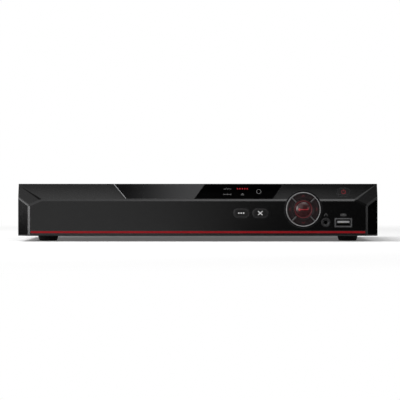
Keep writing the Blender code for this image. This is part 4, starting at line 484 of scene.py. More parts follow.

# %% [markdown]
# ### The gloss panel's painted sheen
# The smoked panel beside the window gets a painted sheen in its colour: a fade, black at its left end and
# grey at its right, under a clear gloss, that stands in for a reflection along it. A picture could hold it.
# A ramp along x, set between the recipe's colour and the shader, does it with one more mix and stays sharp
# at any size.

# %% Gloss panel finish
# the grey at the bright end of the painted sheen
SHEEN_GREY = grey(0.046, 0.047)
SHEEN_START, SHEEN_END = 6, 2  # from the panel's left and right end
gloss_low, gloss_high = box("gloss_panel")
tree = FINISH["smoked_gloss"].node_tree
base = tree.nodes["Principled BSDF"].inputs["Base Color"]
split = add(tree, "SeparateXYZ", Vector=(add(tree, "TexCoord"), "Object"))
start, end = (gloss_low[0] + SHEEN_START) * MM, (gloss_high[0] - SHEEN_END) * MM
fade = add(tree, "MapRange", SMOOTH, Value=split, From_Min=start, From_Max=end)
painted_sheen, output = blend(tree, fade, (base.links[0].from_node, MIXED), (*SHEEN_GREY, 1))
tree.links.new(painted_sheen.outputs[output], base)
print("gloss panel fades over", round(gloss_high[0] - gloss_low[0]), "mm")

# %% [markdown]
# ## Planes to work on
# Each detail of the recorder lies on a plane: the face, the band that leans back above it, the rear panel or
# a side. A detail could be modelled in place, but a shape is easier to draw flat. So a plane is kept as an
# origin and three directions (right, up, out), a shape is drawn as if on paper, and one product of arrays
# carries it to its plane.

# %% Planes


def plane(origin, right, up):
    """Origin and three unit directions; out is right x up."""
    right, up = (np.array(way, float) / np.linalg.norm(way) for way in (right, up))
    return np.array(origin, float), right, up, np.cross(right, up)


def shifted(place, right=0.0, up=0.0, out=0.0):
    """The same plane with its origin moved along its own directions."""
    return place[0] + np.array((right, up, out)) @ np.array(place[1:]), *place[1:]


def on_rear(x, z):
    """On the rear panel, seen from behind: right is -x and up is z."""
    return plane((x, REAR_Y, z), (-1, 0, 0), (0, 0, 1))


def on_side(sign, x, y, z):
    """On the left (sign -1) or the right (sign 1) side, seen from outside."""
    return plane((sign * x, y, z), (0, sign, 0), (0, 0, 1))


def seat(node):
    """The face's or rear panel's plane at a solid's middle, and how far the solid reaches behind it."""
    low, high = box(node)
    x, y, z = (low + high) / 2
    if y > 0:
        return on_rear(x, z), REAR_Y - low[1]
    return plane((x, FACE_Y, z), (1, 0, 0), (0, 0, 1)), high[1] - FACE_Y


def carried(points, place):
    """Carries flat drawings to a plane: origin + x right + y up + z out, in metres."""
    return MM * (place[0] + points @ np.array(place[1:]))


print("planes ready; the rear panel looks along", on_rear(0, 0)[3])

# %% [markdown]
# ## Shapes as arrays
# New pieces are grids of points: one outline after another, each at its own size and level. They could be
# made with extrude, inset and spin, step by step, but a grid worked out as one array is exact, quick and easy
# to change. A shell is such a grid with its quads, drawn flat and carried to its plane.

# %% Shells


def shell(rings, place, height=None):
    """A tube of rings, carried to a plane. A height function may lift every point of the drawing."""
    points = np.stack(rings)
    if height:
        points[..., 2] += height(points[..., 0], points[..., 1])
    return carried(points, place).reshape(-1, 3), grid_quads(*points.shape[:2], closed=True)


def ring(flat, level):
    """A flat outline stood at a level."""
    return np.column_stack([flat, np.full(len(flat), level)])


def stacked(outline, steps):
    """The outline at each (inset, level) step."""
    return [ring(outline(inset), level) for inset, level in steps]


def closed(rings):
    """The rings with both ends drawn in to their middle points."""
    ends = [np.broadcast_to(end.mean(axis=0), end.shape) for end in (rings[0], rings[-1])]
    return [ends[0], *rings, ends[1]]


print("shell makers ready")

# %% [markdown]
# ### Pieces
# A real piece is often several bodies in one, such as a cap and its stem. So a piece joins shells in one
# mesh, welds them where a grid meets itself, and turns the faces outwards, because a grid that is drawn the
# other way round is inside out. Then it is painted, and hung on the body that it moves with. A table gives
# each finish its slot, so that a piece has to name its finish alone.

# %% Pieces
CREASE = 35  # edges sharper than this, in degrees, stay sharp


def hang(name, mesh, paint, body, replaces, crease):
    """Paints a mesh and hangs it on a body."""
    mesh.shade_smooth()
    mesh.set_sharp_from_angle(angle=math.radians(crease))
    mesh.materials.clear()
    mesh.materials.append(FINISH[paint])
    thing = linked(name, mesh)
    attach(thing, body)
    if replaces:
        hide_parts(replaces)
    return thing


def piece(name, shells, paint, body="recorder", replaces=None):
    """Joins shells in one mesh, welds seams and poles, turns faces outwards and hangs it on a body."""
    counts = np.cumsum([0] + [len(points) for points, _ in shells[:-1]])
    points = np.concatenate([points for points, _ in shells])
    faces = np.concatenate([quads + start for (_, quads), start in zip(shells, counts)])
    mesh = bpy.data.meshes.new(name)
    mesh.from_pydata(points.tolist(), [], faces.tolist())
    bm = bmesh.new()
    bm.from_mesh(mesh)
    bmesh.ops.remove_doubles(bm, verts=bm.verts, dist=1e-7)
    bmesh.ops.dissolve_degenerate(bm, edges=bm.edges, dist=1e-8)
    bmesh.ops.recalc_face_normals(bm, faces=bm.faces)
    bm.to_mesh(mesh)
    bm.free()
    hang(name, mesh, paint, body, replaces, CREASE)


print("piece makers ready")

# %% [markdown]
# ## Casing
# The casing is one moulded bezel, a folded cover and a folded pan. No such edge is perfectly sharp: a small
# round catches the light as a thin line. The solids have the right shape, so they aren't drawn again. A copy
# is welded, since its triangles are loose, its flat triangles are joined, and a bevel modifier rounds the
# edges that are left. Weighted normals keep the flats flat.

# %% Softened solids
SOLID_CREASE, ROUND_ANGLE = 12, 32  # sharper edges, in degrees, stay sharp or get a round


def softened(name, node, width, paint, body="recorder", segments=2):
    """A welded copy of a solid whose flat triangles are joined and whose sharp edges get a small round."""
    mesh = frame["nodes"][node].data.copy()
    mesh.name = name
    bm = bmesh.new()
    bm.from_mesh(mesh)
    bmesh.ops.remove_doubles(bm, verts=bm.verts, dist=1e-6)
    bmesh.ops.dissolve_limit(bm, angle_limit=math.radians(0.3), verts=bm.verts, edges=bm.edges)
    bm.to_mesh(mesh)
    bm.free()
    thing = hang(name, mesh, paint, body, node, SOLID_CREASE)
    edge = thing.modifiers.new("soft_edges", "BEVEL")
    edge.width = width * MM
    edge.segments = segments
    edge.limit_method = "ANGLE"
    edge.angle_limit = math.radians(ROUND_ANGLE)
    edge.use_clamp_overlap = True
    even = thing.modifiers.new("level_faces", "WEIGHTED_NORMAL")
    even.keep_sharp = True
    even.weight = 100
    return thing


print("softener ready")

# %% [markdown]
# ### Casing pieces
# The bezel has crisp facets, the cover and the pan are thin steel, and window, gloss panel and red trim are
# set into the bezel. All are softened copies of their solids. Thin sheet gets the smallest rounds, because a
# round that is wide for its wall would eat it up.

# %% Casing
bezel = softened("bezel_shell", "front_bezel", 0.22, "moulded_black")
softened("cover_sheet", "top_cover", 0.14, "powder_coat")
softened("pan_sheet", "chassis_base", 0.12, "powder_coat", segments=1)
softened("trim_strip", "red_trim_strip", 0.10, "red_trim")
softened("window_pane", "status_window", 0.15, "window_black")
softened("gloss_pane", "gloss_panel", 0.15, "smoked_gloss")
print("casing dressed")

# %% [markdown]
# ### Chamfers with painted highlights and shade
# The chamfers between the bezel's facets show as fine bright or dark lines: painted highlights and painted
# shade, in finishes lighter and darker than the plastic. They could be strips of their own, but they are faces
# of the moulding already. The facets look in six directions, and a face that looks in none of them is a
# chamfer, so the faces are sorted by their normals, all at once, and take other finishes. The band has a
# finish of its own too, a lighter copy of the face's, as painted light.

# %% Chamfers with painted highlights and shade
BAND = 1
FORWARD, NOT_DOWN = -0.12, -0.3  # a chamfer's normal looks forward by more, and down by less
OFF_FACET, ALONG_BAND, BESIDE = 0.999, 0.9999, 0.995  # cosines between a normal and a direction
FACETS = np.array([(0, -1, 0), (0, -BAND_H / BAND_L, BAND_BACK / BAND_L), (-0.6247, -0.7809, 0),
                   (0.6247, -0.7809, 0), (-0.2435, -0.8020, 0.5456), (0.2435, -0.8020, 0.5456)])
# the chamfers between these facets take painted shade and a painted highlight
BETWEEN = {"painted_edge_shade": [(1, 4), (0, 5)], "painted_pale_highlight": [(1, 5)]}  # dark and light chamfers, by facets
normals = np.empty(3 * len(bezel.data.polygons))
bezel.data.polygons.foreach_get("normal", normals)
normals = normals.reshape(-1, 3)
chamfer = (normals[:, 1] < FORWARD) & (normals[:, 2] > NOT_DOWN)
chamfer &= (normals @ FACETS.T).max(axis=1) < OFF_FACET
paints = np.where(chamfer, 1, np.where(normals @ FACETS[BAND] > ALONG_BAND, 2, 0))
for number, (paint, pairs) in enumerate(BETWEEN.items(), 3):
    for one, other in pairs:
        way = FACETS[one] + FACETS[other]
        paints[chamfer & (normals @ (way / np.linalg.norm(way)) > BESIDE)] = number
for paint in ("painted_edge_highlight", "moulded_band_painted_light", *BETWEEN):
    bezel.data.materials.append(FINISH[paint])
bezel.data.polygons.foreach_set("material_index", paints.astype(np.int32))
print("polished chamfers:", int(chamfer.sum()), "of", len(chamfer), "faces")

# %% [markdown]
# ## Inside pieces
# Boards, drive, cables and fan show only through the slots of the cover. They could be dressed like the rest,
# but nobody would see it. So their solids stay as they are, and take a fitting finish from a table.

# %% Inside pieces
INSIDE = {
    "board_green": ["key_board", "main_board"], "clear_guide": ["status_light_guide"],
    "socket_black": ["ir_receiver", "coin_cell_holder", "fan_frame", "fan_rotor"], "nickel": ["coin_cell"],
    "cast_aluminium": ["heat_sink", "hard_drive"], "cable_red": ["drive_data_cable"],
    "cable_black": ["drive_power_cable", "front_panel_cable"],
}
for paint, nodes in INSIDE.items():
    for node in nodes:
        for place in frame["nodes"][node].material_slots:
            place.material = FINISH[paint]
print("inside pieces painted")

# %% [markdown]
# ### Soft outlines
# Screens, sockets and blocks are rectangles with round corners. A box could get a bevel after it is made, but
# each step of its edge would need one again. Here four quarter circles are pushed to the corners, and an
# inset makes them smaller, so one function gives every step of a block with soft edges. The points lie half a
# step off the axes, so that each belongs to one corner.

# %% Soft outlines


def around(angle):
    """(cos a, sin a) for each angle: points of a circle of radius one."""
    return np.column_stack([np.cos(angle), np.sin(angle)])


def off_axis(count):
    """Points round a circle, half a step off, so that none lies on an axis."""
    return around((np.arange(count) + 0.5) * 2 * math.pi / count)


def rounded(width, height, corner, count=32, taper=0.0):
    """Returns outline(inset): four quarter circles pushed to the corners of a rectangle, whose lower corners
    may be drawn in by a taper."""
    points = off_axis(count)
    half = np.array((width, height)) / 2 - np.outer(points[:, 1] < 0, (taper, 0))
    return lambda inset: max(corner - inset, 0) * points + np.sign(points) * (half - max(corner, inset))


def round_edge(radius, top, steps=5):
    """(inset, height) steps of a quarter round, from the flat top down to the side."""
    angle = np.linspace(math.pi / 2, 0, steps)
    return [(radius * (1 - math.cos(a)), top - radius * (1 - math.sin(a))) for a in angle]


def raised(outline, steps, place):
    """An outline's steps from the front to the back, closed at both ends."""
    return shell(closed(stacked(outline, steps)), place)


def soft_block(outline, front, back, place, radius=0.15, steps=3):
    """A closed block: the steps of its rounded front edge, then the outline at its back."""
    return raised(outline, [*round_edge(radius, front, steps), (0, back)], place)


def cut_block(outline, front, back, place, cut=0.1):
    """A closed block whose front edges are cut at a slant: two steps of a round."""
    return soft_block(outline, front, back, place, cut, 2)


print("soft outlines ready")

# %% [markdown]
# ### Dark screens
# A thin dark screen behind the rear slots is a dark sheet put where the inside of the casing would be in
# shade: it stops the look right through the casing from one side to the other. Each screen is one thin plate
# with a cut edge.

# %% Dark screens
SLOTS_Y, SLOTS_Z = 61.95, 28.85  # the middle of the rear slots in the cover
SCREEN_X, SCREEN_T = 159.4, 0.17
HANDS = {"left": -1, "right": 1}
screen = rounded(46, 31, 1.0)
# dark sheets that stand in for the shade inside the casing
for hand, sign in HANDS.items():
    place = on_side(sign, SCREEN_X, SLOTS_Y, SLOTS_Z)
    piece(hand + "_shade_screen", [cut_block(screen, SCREEN_T, 0, place, 0.05)], "socket_black")
print("dust screens behind the rear slots made")

# %% [markdown]
# ## Turned pieces
# Stems, rings, barrels and feet are turned on a lathe, or moulded as if they were. A screw modifier could
# sweep a profile round, but a profile times a circle is only one product of arrays, and it can be joined to
# other shells at once. With six sides in place of many it makes a nut.

# %% Turned pieces


def circle(sides):
    """Points of a circle of radius one, at even angles from 0 to a full turn."""
    return around(np.linspace(0, 2 * math.pi, sides, endpoint=False))


def turned(profile, place, sides=48):
    """x = r cos a, y = r sin a, z = h for every (r, h) of the profile and every angle a."""
    return shell(stacked(lambda radius: radius * circle(sides), profile), place)


print("lathe ready")

# %% [markdown]
# ## Strokes
# Signs are printed with ink that is a few hundredths of a millimetre thick. A flat face on its surface would
# flicker, and a picture has pixels. A stroke is a line with a square section, sunk a little into what it is
# printed on, so it has real thickness. A height function bends it over a slope or a dome.

# %% Strokes
PRINT_LOW, PRINT_HIGH = -0.02, 0.04  # a printed line, below and above its surface
RISE = 0.01  # how much higher a line lies than one that it crosses


def hoop(outline, section, place, height=None):
    """A ring: an outline's steps round a section and back to the first."""
    return shell(stacked(outline, [*section, section[0]]), place, height)


def outlined(outline, start, end, place, height=None):
    """A printed line between two insets of an outline."""
    section = [(start, PRINT_LOW), (start, PRINT_HIGH), (end, PRINT_HIGH), (end, PRINT_LOW)]
    return hoop(outline, section, place, height)


def stroke(line, width, place, low=PRINT_LOW, high=PRINT_HIGH, height=None):
    """A line of constant width: each point is set off to both sides of the line, below and above."""
    line = np.array(line, float)
    step = np.gradient(line, axis=0)
    step /= np.linalg.norm(step, axis=1, keepdims=True)
    aside = np.column_stack([-step[:, 1], step[:, 0]]) * width / 2
    left, right = line + aside, line - aside
    corners = [ring(left, low), ring(right, low), ring(right, high), ring(left, high)]
    return shell(closed(np.stack(corners, axis=1)), place, height)


def strokes(lines, width, place, rise=0.0, height=None):
    """One stroke for each line, each a little higher than the one before."""
    return [stroke(line, width, place, high=PRINT_HIGH + rise * number, height=height)
            for number, line in enumerate(lines)]


print("stroke makers ready")

# %% [markdown]
# ## Pill keys
# Two pill-shaped keys stand a little out of the face, with a flange behind the wall that keeps them in, and a
# stem to the switch. A pill could be a box between two half cylinders. Here it is a circle whose halves are
# pushed apart, carried through steps: crown, rounded edge, side, flange, so that nothing has to be joined.
# The signs, three dots and a cross, lie inside a thin line, and a smooth surround finishes the hole in the
# face.

# %% Pill keys
KEY_W, KEY_H = 13.5, 7.6
KEY_PROUD, KEY_ROUND = 0.6, 0.45
WALL_GAP = 2.5  # from the face to the flange behind the wall
FLANGE, FLANGE_T = 1.2, 1.2  # how far a flange reaches out, and how thick it is
STEM_R, STEM_SIDES = 1.6, 16
STEM_IN, STEM_CUT = 0.5, 0.2  # how far a stem reaches into the flange, and its cut end
KEY_LINE = 0.42, 0.78  # the thin line on a key, as insets
SURROUND = [(-0.16, -1.2), (-0.16, 0), (-0.23, 0.06), (-0.68, 0.06), (-0.75, 0), (-0.75, -1.2)]
SIGNS = {
    "function_key": (1.1, [[(-2.7, 0), (-1.6, 0)], [(-0.55, 0), (0.55, 0)], [(1.6, 0), (2.7, 0)]]),
    "escape_key": (0.6, [[(-2.0, -1.7), (2.0, 1.7)], [(-2.0, 1.7), (2.0, -1.7)]]),
}


def pill(width, height):
    """Returns outline(inset): a circle of radius height/2 - inset whose halves are pushed apart."""
    points = off_axis(48)
    return lambda inset: (height / 2 - inset) * points + np.sign(points) * ((width - height) / 2, 0)


def crown_steps(height):
    """Steps from the middle line of a key over its rounded edge."""
    return [(height / 2 * share, KEY_PROUD) for share in (0.999, 0.7, 0.4)] + round_edge(KEY_ROUND, KEY_PROUD)


key_shape = pill(KEY_W, KEY_H)
key_steps = crown_steps(KEY_H) + [(0, -WALL_GAP), (-FLANGE, -WALL_GAP), (-FLANGE, -WALL_GAP - FLANGE_T)]
stem_top = STEM_IN - WALL_GAP - FLANGE_T
for node, (width, lines) in SIGNS.items():
    place, back = seat(node)
    top = shifted(place, out=KEY_PROUD)
    stem = [(0, stem_top), (STEM_R, stem_top), (STEM_R, STEM_CUT - back), (STEM_R - STEM_CUT, -back),
            (0, -back)]
    piece(node + "_cap", [raised(key_shape, key_steps, place), turned(stem, place, STEM_SIDES)], "key_black",
          node, node)
    piece(node + "_sign", strokes(lines, width, top, RISE), "white_print", node)
    piece(node + "_line", [outlined(key_shape, *KEY_LINE, top)], "faint_line", node)
    piece(node + "_surround", [hoop(key_shape, SURROUND, place)], "moulded_black")
print("two pill keys made")

# %% [markdown]
# ## Power key
# The power key lies on the leaning band but slides straight back, so its outline is a pill seen from the
# front and its face follows the slope. A tilted pill would jam in its hole. So each point is lifted by the
# slope's height there, and the red sign, a ring with a gap and a bar, is lifted the same way.

# %% Power key
POWER_W, POWER_H = 12, 6.9
POWER_SIGN_R, POWER_SIGN_W = 1.75, 0.5
SIGN_FROM, SIGN_TO = 118, 422  # the ends of the sign's ring, in degrees
POWER_LINE = 0.40, 0.72
EARS = 14.4, 5.9, 1.2  # width, height and corner of the flange behind the band
power_place, power_back = seat("power_key")
power_shape = pill(POWER_W, POWER_H)


def slope_lift(x, y):
    """How far the band lies behind the face at a point of the front drawing, as a negative height."""
    return -(power_place[0][2] + y - RIDGE_Z) * BAND_BACK / BAND_H


def power_lift(x, y, proud=KEY_PROUD):
    """The same for a surface that stands out of the band by a height measured across it."""
    return slope_lift(x, y) + proud * BAND_L / BAND_H


def arc_line(radius, start, end, count):
    """Points of an arc between two angles in degrees."""
    return radius * around(np.radians(np.linspace(start, end, count)))


cap = []
for inset, out in crown_steps(POWER_H):
    flat = power_shape(inset)
    cap.append(np.column_stack([flat, power_lift(*flat.T, out)]))
cap.append(ring(power_shape(0), FLANGE_T / 2 - power_back))
ears = cut_block(rounded(*EARS), FLANGE_T - power_back, -power_back, power_place, 0.2)
piece("power_key_cap", [shell(closed(cap), power_place), ears], "key_black", "power_key", "power_key")
power_sign = [arc_line(POWER_SIGN_R, SIGN_FROM, SIGN_TO, 28), [(0, 0.5), (0, 2.35)]]
piece("power_key_sign", strokes(power_sign, POWER_SIGN_W, power_place, height=power_lift), "red_print",
      "power_key")
piece("power_key_line", [outlined(power_shape, *POWER_LINE, power_place, power_lift)], "faint_line",
      "power_key")
piece("power_key_surround", [hoop(power_shape, SURROUND, power_place, slope_lift)], "moulded_black")
print("power key made at x", round(power_place[0][0], 1), "mm")

# %% [markdown]
# ## Round keypad
# A frame of ring, hub and four spokes holds four quarter keys, and a red light ring glows round the domed
# middle key. The real frame is one moulding, with bright paint on its ring and spokes. Here each finish is a
# piece of its own, so that no face has to be picked by hand: ring, hub and light are turned from a profile
# with a half-round front, and a spoke is a bar with a round top.

# %% Keypad frame
RIM, RIM_LINE = (15.6, 14.7, 0.9), (15.36, 14.98, 0.98)  # outer radius, inner radius, height
HUB, LIGHT = (9.0, 8.4, 0.9), (8.1, 7.2, 0.6)
RIM_SIDES, HUB_SIDES = 96, 72
SPOKES, SPOKE_UP = (45, 135, 225, 315), 0.5  # angles, and how much sooner than the ring a spoke ends
SPOKE_FROM, SPOKE_TO = 8.7, 15.0
SPOKE_W, SPOKE_PROUD, SPOKE_ROUND = 0.34, 0.2, 0.12
pad, frame_back = seat("keypad_frame")
light_back = seat("enter_light_ring")[1]


def round_ring(outer, inner, proud, back, steps=9):
    """A tube's profile whose front edge is a half round."""
    radius = (outer - inner) / 2
    crown = ((outer + inner) / 2, proud - radius) + radius * around(np.linspace(0, math.pi, steps))
    return np.concatenate([[(outer, -back)], crown, [(inner, -back), (outer, -back)]])


def spoke(angle, back):
    """A radial bar: an (across, out) section with a round top, carried from the hub to the ring."""
    crown = (0, SPOKE_PROUD - SPOKE_ROUND) + around(np.linspace(0, math.pi, 7)) * (SPOKE_W / 2, SPOKE_ROUND)
    section = np.concatenate([[(SPOKE_W / 2, -back)], crown, [(-SPOKE_W / 2, -back)]])
    along, across = around(np.radians((angle, angle + 90)))
    ends = [np.column_stack([radius * along + section[:, :1] * across, section[:, 1]])
            for radius in (SPOKE_FROM, SPOKE_TO)]
    return shell(closed(ends), pad)


piece("keypad_rim", [turned(round_ring(*RIM, frame_back), pad, RIM_SIDES)], "socket_black",
      replaces="keypad_frame")
piece("keypad_line", [turned(round_ring(*RIM_LINE, 0), pad, RIM_SIDES)], "bright_ring")
piece("keypad_spokes", [spoke(angle, frame_back - SPOKE_UP) for angle in SPOKES], "silver_paint_and_highlight")
piece("keypad_hub", [turned(round_ring(*HUB, frame_back), pad, HUB_SIDES)], "keypad_black")
piece("keypad_light", [turned(round_ring(*LIGHT, light_back), pad, HUB_SIDES)], "red_light_guide",
      replaces="enter_light_ring")
print("keypad frame made at", np.round(pad[0][::2], 1))

# %% [markdown]
# ### Quarter keys
# Each arrow key is a quarter of a ring, kept at an even distance from the spokes, with a slightly hollow
# crown. It could be cut out of a full ring, which leaves uneven faces along the cut. Here the outline is
# worked out for any inset, and it shrinks to its middle arc, so the crown closes without a seam. The arrow is
# one bent stroke.

# %% Quarter keys
INNER_R, OUTER_R, SPOKE_GAP = 9.3, 14.4, 0.65
ACROSS, FLANK = 20, 6  # points along an arc and along a straight side
STEM_L, CAP_UP = 4, 3.4  # a stem's length, and how much sooner than it the cap ends
ARROW_W, ARROW_LOW, ARROW_HIGH = 0.5, 0.40, 0.58
ARROWS = {"right_key": 0, "up_key": 90, "left_key": 180, "down_key": 270}
CHEVRON = np.array([(11.35, 1.25), (12.75, 0), (11.35, -1.25)])


def quarter(facing):
    """Returns outline(inset): a quarter ring between two spokes, kept at an even distance from all of them."""
    def outline(inset):
        far, near = OUTER_R - inset, INNER_R + inset
        share, flank = np.linspace(-1, 1, ACROSS), np.linspace(0, 1, FLANK + 2)[1:-1]
        radius = np.concatenate([np.full(ACROSS, far), far + (near - far) * flank, np.full(ACROSS, near),
                                 near + (far - near) * flank])
        limit = math.pi / 4 - np.arcsin((SPOKE_GAP + inset) / radius)
        sweep = np.concatenate([share, np.ones(FLANK), -share, -np.ones(FLANK)]) * limit + facing
        return radius[:, None] * around(sweep)
    return outline


crown = [(2.55, 0.52), (1.8, 0.53), (1.1, 0.56), (0.6, KEY_PROUD)] + round_edge(KEY_ROUND, KEY_PROUD)
for node, angle in ARROWS.items():
    _, back = seat(node)
    turn = around(np.radians((angle, angle + 90)))
    outline = quarter(math.radians(angle))
    rings = closed(stacked(outline, [*crown, (0, CAP_UP - back)]))
    right, up = (INNER_R + OUTER_R) / 2 * turn[0]
    stem = [(0, STEM_L - back), (STEM_R, STEM_L - back), (STEM_R, -back), (0, -back)]
    piece(node + "_cap", [shell(rings[1:], pad), turned(stem, shifted(pad, right, up), STEM_SIDES)],
          "keypad_black", node, node)
    piece(node + "_sign", [stroke(CHEVRON @ turn, ARROW_W, pad, ARROW_LOW, ARROW_HIGH)], "dim_red_print", node)
print("four quarter keys made")

# %% [markdown]
# ### Middle key
# The middle key is a low dome in the red ring. A flattened sphere would be too steep at its rim, so the
# height falls with the square of the radius, and the same formula lifts the bent arrow that is printed on it.
# The arrow's lines are cut in short steps, so that they follow the curve.

# %% Middle key
ENTER_R, DOME_TOP, DOME_FALL = 6.9, 1.35, 1.75
ENTER_SIGN_W = 0.8
ENTER_SIGN = [((4.2, 1.5), (4.2, -0.6)), ((4.2, -0.2), (-4.2, -0.2)), ((-3.0, 1.0), (-4.5, -0.3)),
              ((-4.5, -0.1), (-3.0, -1.4))]


def dome(x, y):
    """Height of the dome at a point: it falls from the top with the square of the radius."""
    return DOME_TOP - DOME_FALL * (x**2 + y**2) / ENTER_R**2


enter_back = seat("enter_key")[1]
radius = np.linspace(0, 0.97, 20) * ENTER_R
side = [(0.995 * ENTER_R, -0.43), (ENTER_R, -0.55), (ENTER_R, 3.0 - enter_back)]
flange = np.array([(8.1, 3.0), (8.1, 1.8), (STEM_R, 1.8), (STEM_R, 0), (0, 0)]) - (0, enter_back)
piece("enter_key_cap", [turned([*zip(radius, dome(radius, 0)), *side, *flange], pad, HUB_SIDES)],
      "dome_red_black", "enter_key", "enter_key")
lines = [np.linspace(*ends, 7) for ends in np.array(ENTER_SIGN)]
piece("enter_key_sign", strokes(lines, ENTER_SIGN_W, pad, RISE, dome), "red_lamp", "enter_key")
print("middle key made")

# %% [markdown]
# ## Window signs
# Behind the black window, lamps shine through printed signs: a pulse, a row of lit bars, three linked dots
# and a triangle. A ring marks the remote control's receiver. They could be cut into the pane, but print lies
# on it. The pane leans back, so the signs are drawn on its own slope, and the receiver's ring as an upright
# ellipse there, which looks round from in front.

# %% Window signs
PANE_OUT = 0.3
LAMP_SIGN_W, BAR_W, TRIANGLE_R = 0.45, 1.15, 1.9
LEFT_X, RIGHT_X, LOWER_Z, UPPER_Z = 26.7, 40.3, 37.2, 42.3  # the lamps, heights from the bezel's lower edge
RECEIVER_X, RECEIVER_Z, RECEIVER_R = 55.1, 39.75, (2.25, 3.1)


def on_band(x, along, out):
    """On the leaning band: along is measured up the slope from the ridge, out across it."""
    return shifted(plane((x, FACE_Y, RIDGE_Z), (1, 0, 0), (0, BAND_BACK, BAND_H)), up=along, out=out)


def pane(x, z):
    """The pane's plane at a place seen from in front."""
    return on_band(x, (bezel_low[2] + z - RIDGE_Z) * BAND_L / BAND_H, PANE_OUT)


def grey_sign(name, shells):
    """A sign in grey print, from its strokes."""
    piece(name, shells, "grey_print")


def triangle(inset):
    """Three corners on a circle; the inset draws them in, so that the sides move by it."""
    return (TRIANGLE_R - 2 * inset) * around(np.radians((90, 210, 330)))


def receiver_shape(inset):
    """An upright ellipse on the slope, which looks round from in front."""
    return circle(64) * (np.array(RECEIVER_R) - inset)


pulse = [(-3.4, -0.5), (-1.6, -0.5), (-0.8, 1.2), (0.4, -1.2), (1.1, 0.4), (1.6, -0.3), (3.4, -0.3)]
dots = [[(-3.2, 0), (3.2, 0)], *[[(x, -0.9), (x, 0.9)] for x in (-3.2, 0, 3.2)]]
bars = [[(x, -0.95), (x, 0.95)] for x in (-4.4, -2.2, 0, 2.2, 4.4)]
warning = pane(RIGHT_X, LOWER_Z)
grey_sign("pulse_sign", [stroke(pulse, LAMP_SIGN_W, pane(LEFT_X, UPPER_Z))])
grey_sign("link_sign", strokes(dots, LAMP_SIGN_W, pane(LEFT_X, LOWER_Z)))
grey_sign("triangle_sign", [outlined(triangle, 0, 0.4, warning),
                            stroke([(0, -0.4), (0, 0.5)], 0.4, warning)])
piece("lit_sign", strokes(bars, BAR_W, pane(RIGHT_X, UPPER_Z)), "red_lamp")
grey_sign("receiver_ring", [outlined(receiver_shape, 0, 0.5, pane(RECEIVER_X, RECEIVER_Z))])
print("window signs made")

# %% [markdown]
# ### The gloss panel's bright edge
# The gloss panel ends in a slanting cut edge that mirrors the room as a thin bright line. A mirror that thin
# would sparkle and come and go with the samples, so a painted highlight, a fine silver line, is laid along
# the edge.

# %% Gloss panel's bright edge
EDGE_LOW, EDGE_HIGH = (-64.85, 1.45), (-76.1, BAND_L - 0.6)  # x and the way up the slope
piece("gloss_edge_painted_highlight", [stroke(np.linspace(EDGE_LOW, EDGE_HIGH, 12), 0.5, on_band(0, 0, PANE_OUT), -0.05, 0.05)],
      "silver_paint_and_highlight")
print("bright edge line made")

# %% [markdown]
# ## Front sockets
# A USB socket is a box folded from thin sheet, with a grey tongue that carries four gold contacts, and the
# front one has a lip round it. A block could be hollowed by a boolean, which leaves long thin faces. Here a
# shell is one closed grid that runs along the outside, over the front edge and back along the inside. One
# function makes the front and the rear socket, with or without the lip.

# %% USB sockets
USB_W, USB_H, SHEET = 13.1, 5.7, 0.3  # the drawn shell
TONGUE_W, TONGUE_T, TONGUE_GAP = 11.1, 1.84, 0.9
LIP, BED, LIP_DEEP = (15.4, 8, 0.6), (13.7, 6.3, 0.5), 0.8  # width, height and corner; depth
LINING, LINING_BACK = (12.3, 4.9, 0.3), (12.4, 5.0, 0.3)
CONTACT, CONTACTS = (1.1, 0.12, 0.05), (-3.5, -1.0, 1.0, 3.5)  # one contact, and the places of all four
USB_DEEP = 11


def frame_shell(outer, inner, front, back, place, edge=0.15):
    """A hollow box: the outer outline from the back to the front, then the inner one to the back again."""
    rings = stacked(outer, [(0, back), (0, front - edge), (edge, front)])
    rings += stacked(inner, [(-edge, front), (0, front - edge), (0, back)])
    return shell([*rings, rings[0]], place)


def usb_socket(name, proud, paint, lip):
    """A shell that stands out by a height, its tongue and contacts, and a lip round it if it is asked for."""
    place, depth = seat(name + "_port")
    mouth, back = shifted(place, out=proud), -depth - proud
    outer, inner = rounded(USB_W, USB_H, 0.5), rounded(USB_W - 2 * SHEET, USB_H - 2 * SHEET, 0.35)
    bed = rounded(*BED)
    piece(name + "_shell", [frame_shell(outer, inner, 0, back, mouth),
                            soft_block(outer, -USB_DEEP, back, mouth)],
          paint, replaces=name + "_port")
    if lip:
        piece(name + "_lip", [frame_shell(rounded(*LIP), bed, 0, -LIP_DEEP, mouth, 0.2)], "socket_frame")
        piece(name + "_seat", [frame_shell(bed, outer, -0.3, -LIP_DEEP, mouth, 0.05)], "socket_black")
    tongue = shifted(mouth, up=USB_H / 2 - SHEET - TONGUE_GAP - TONGUE_T / 2)
    piece(name + "_tongue", [soft_block(rounded(TONGUE_W, TONGUE_T, 0.3), -1, -0.2 - USB_DEEP, tongue)],
          "tongue_grey")
    piece(name + "_contacts", [soft_block(rounded(*CONTACT), -1.3, -9, shifted(tongue, x, -0.95))
                               for x in CONTACTS], "gold_contact")
    piece(name + "_lining", [frame_shell(inner, rounded(*LINING), -0.5, 0.1 - USB_DEEP, mouth, 0.02),
                             soft_block(rounded(*LINING_BACK), 0.2 - USB_DEEP, -0.1 - USB_DEEP, mouth)],
          "socket_black")


usb_socket("front_usb", 0.2, "socket_black", lip=True)
print("front USB socket made")

# %% [markdown]
# ### Round socket
# The round audio socket has a shallow cup, a bore with a metal sleeve inside, and a thin bright ring. It is
# turned from one profile that runs from the bore's floor over the cup to the flange behind the wall, so its
# body is a single closed surface with a real hole. An arch and a plug's outline are printed above the two
# sockets.

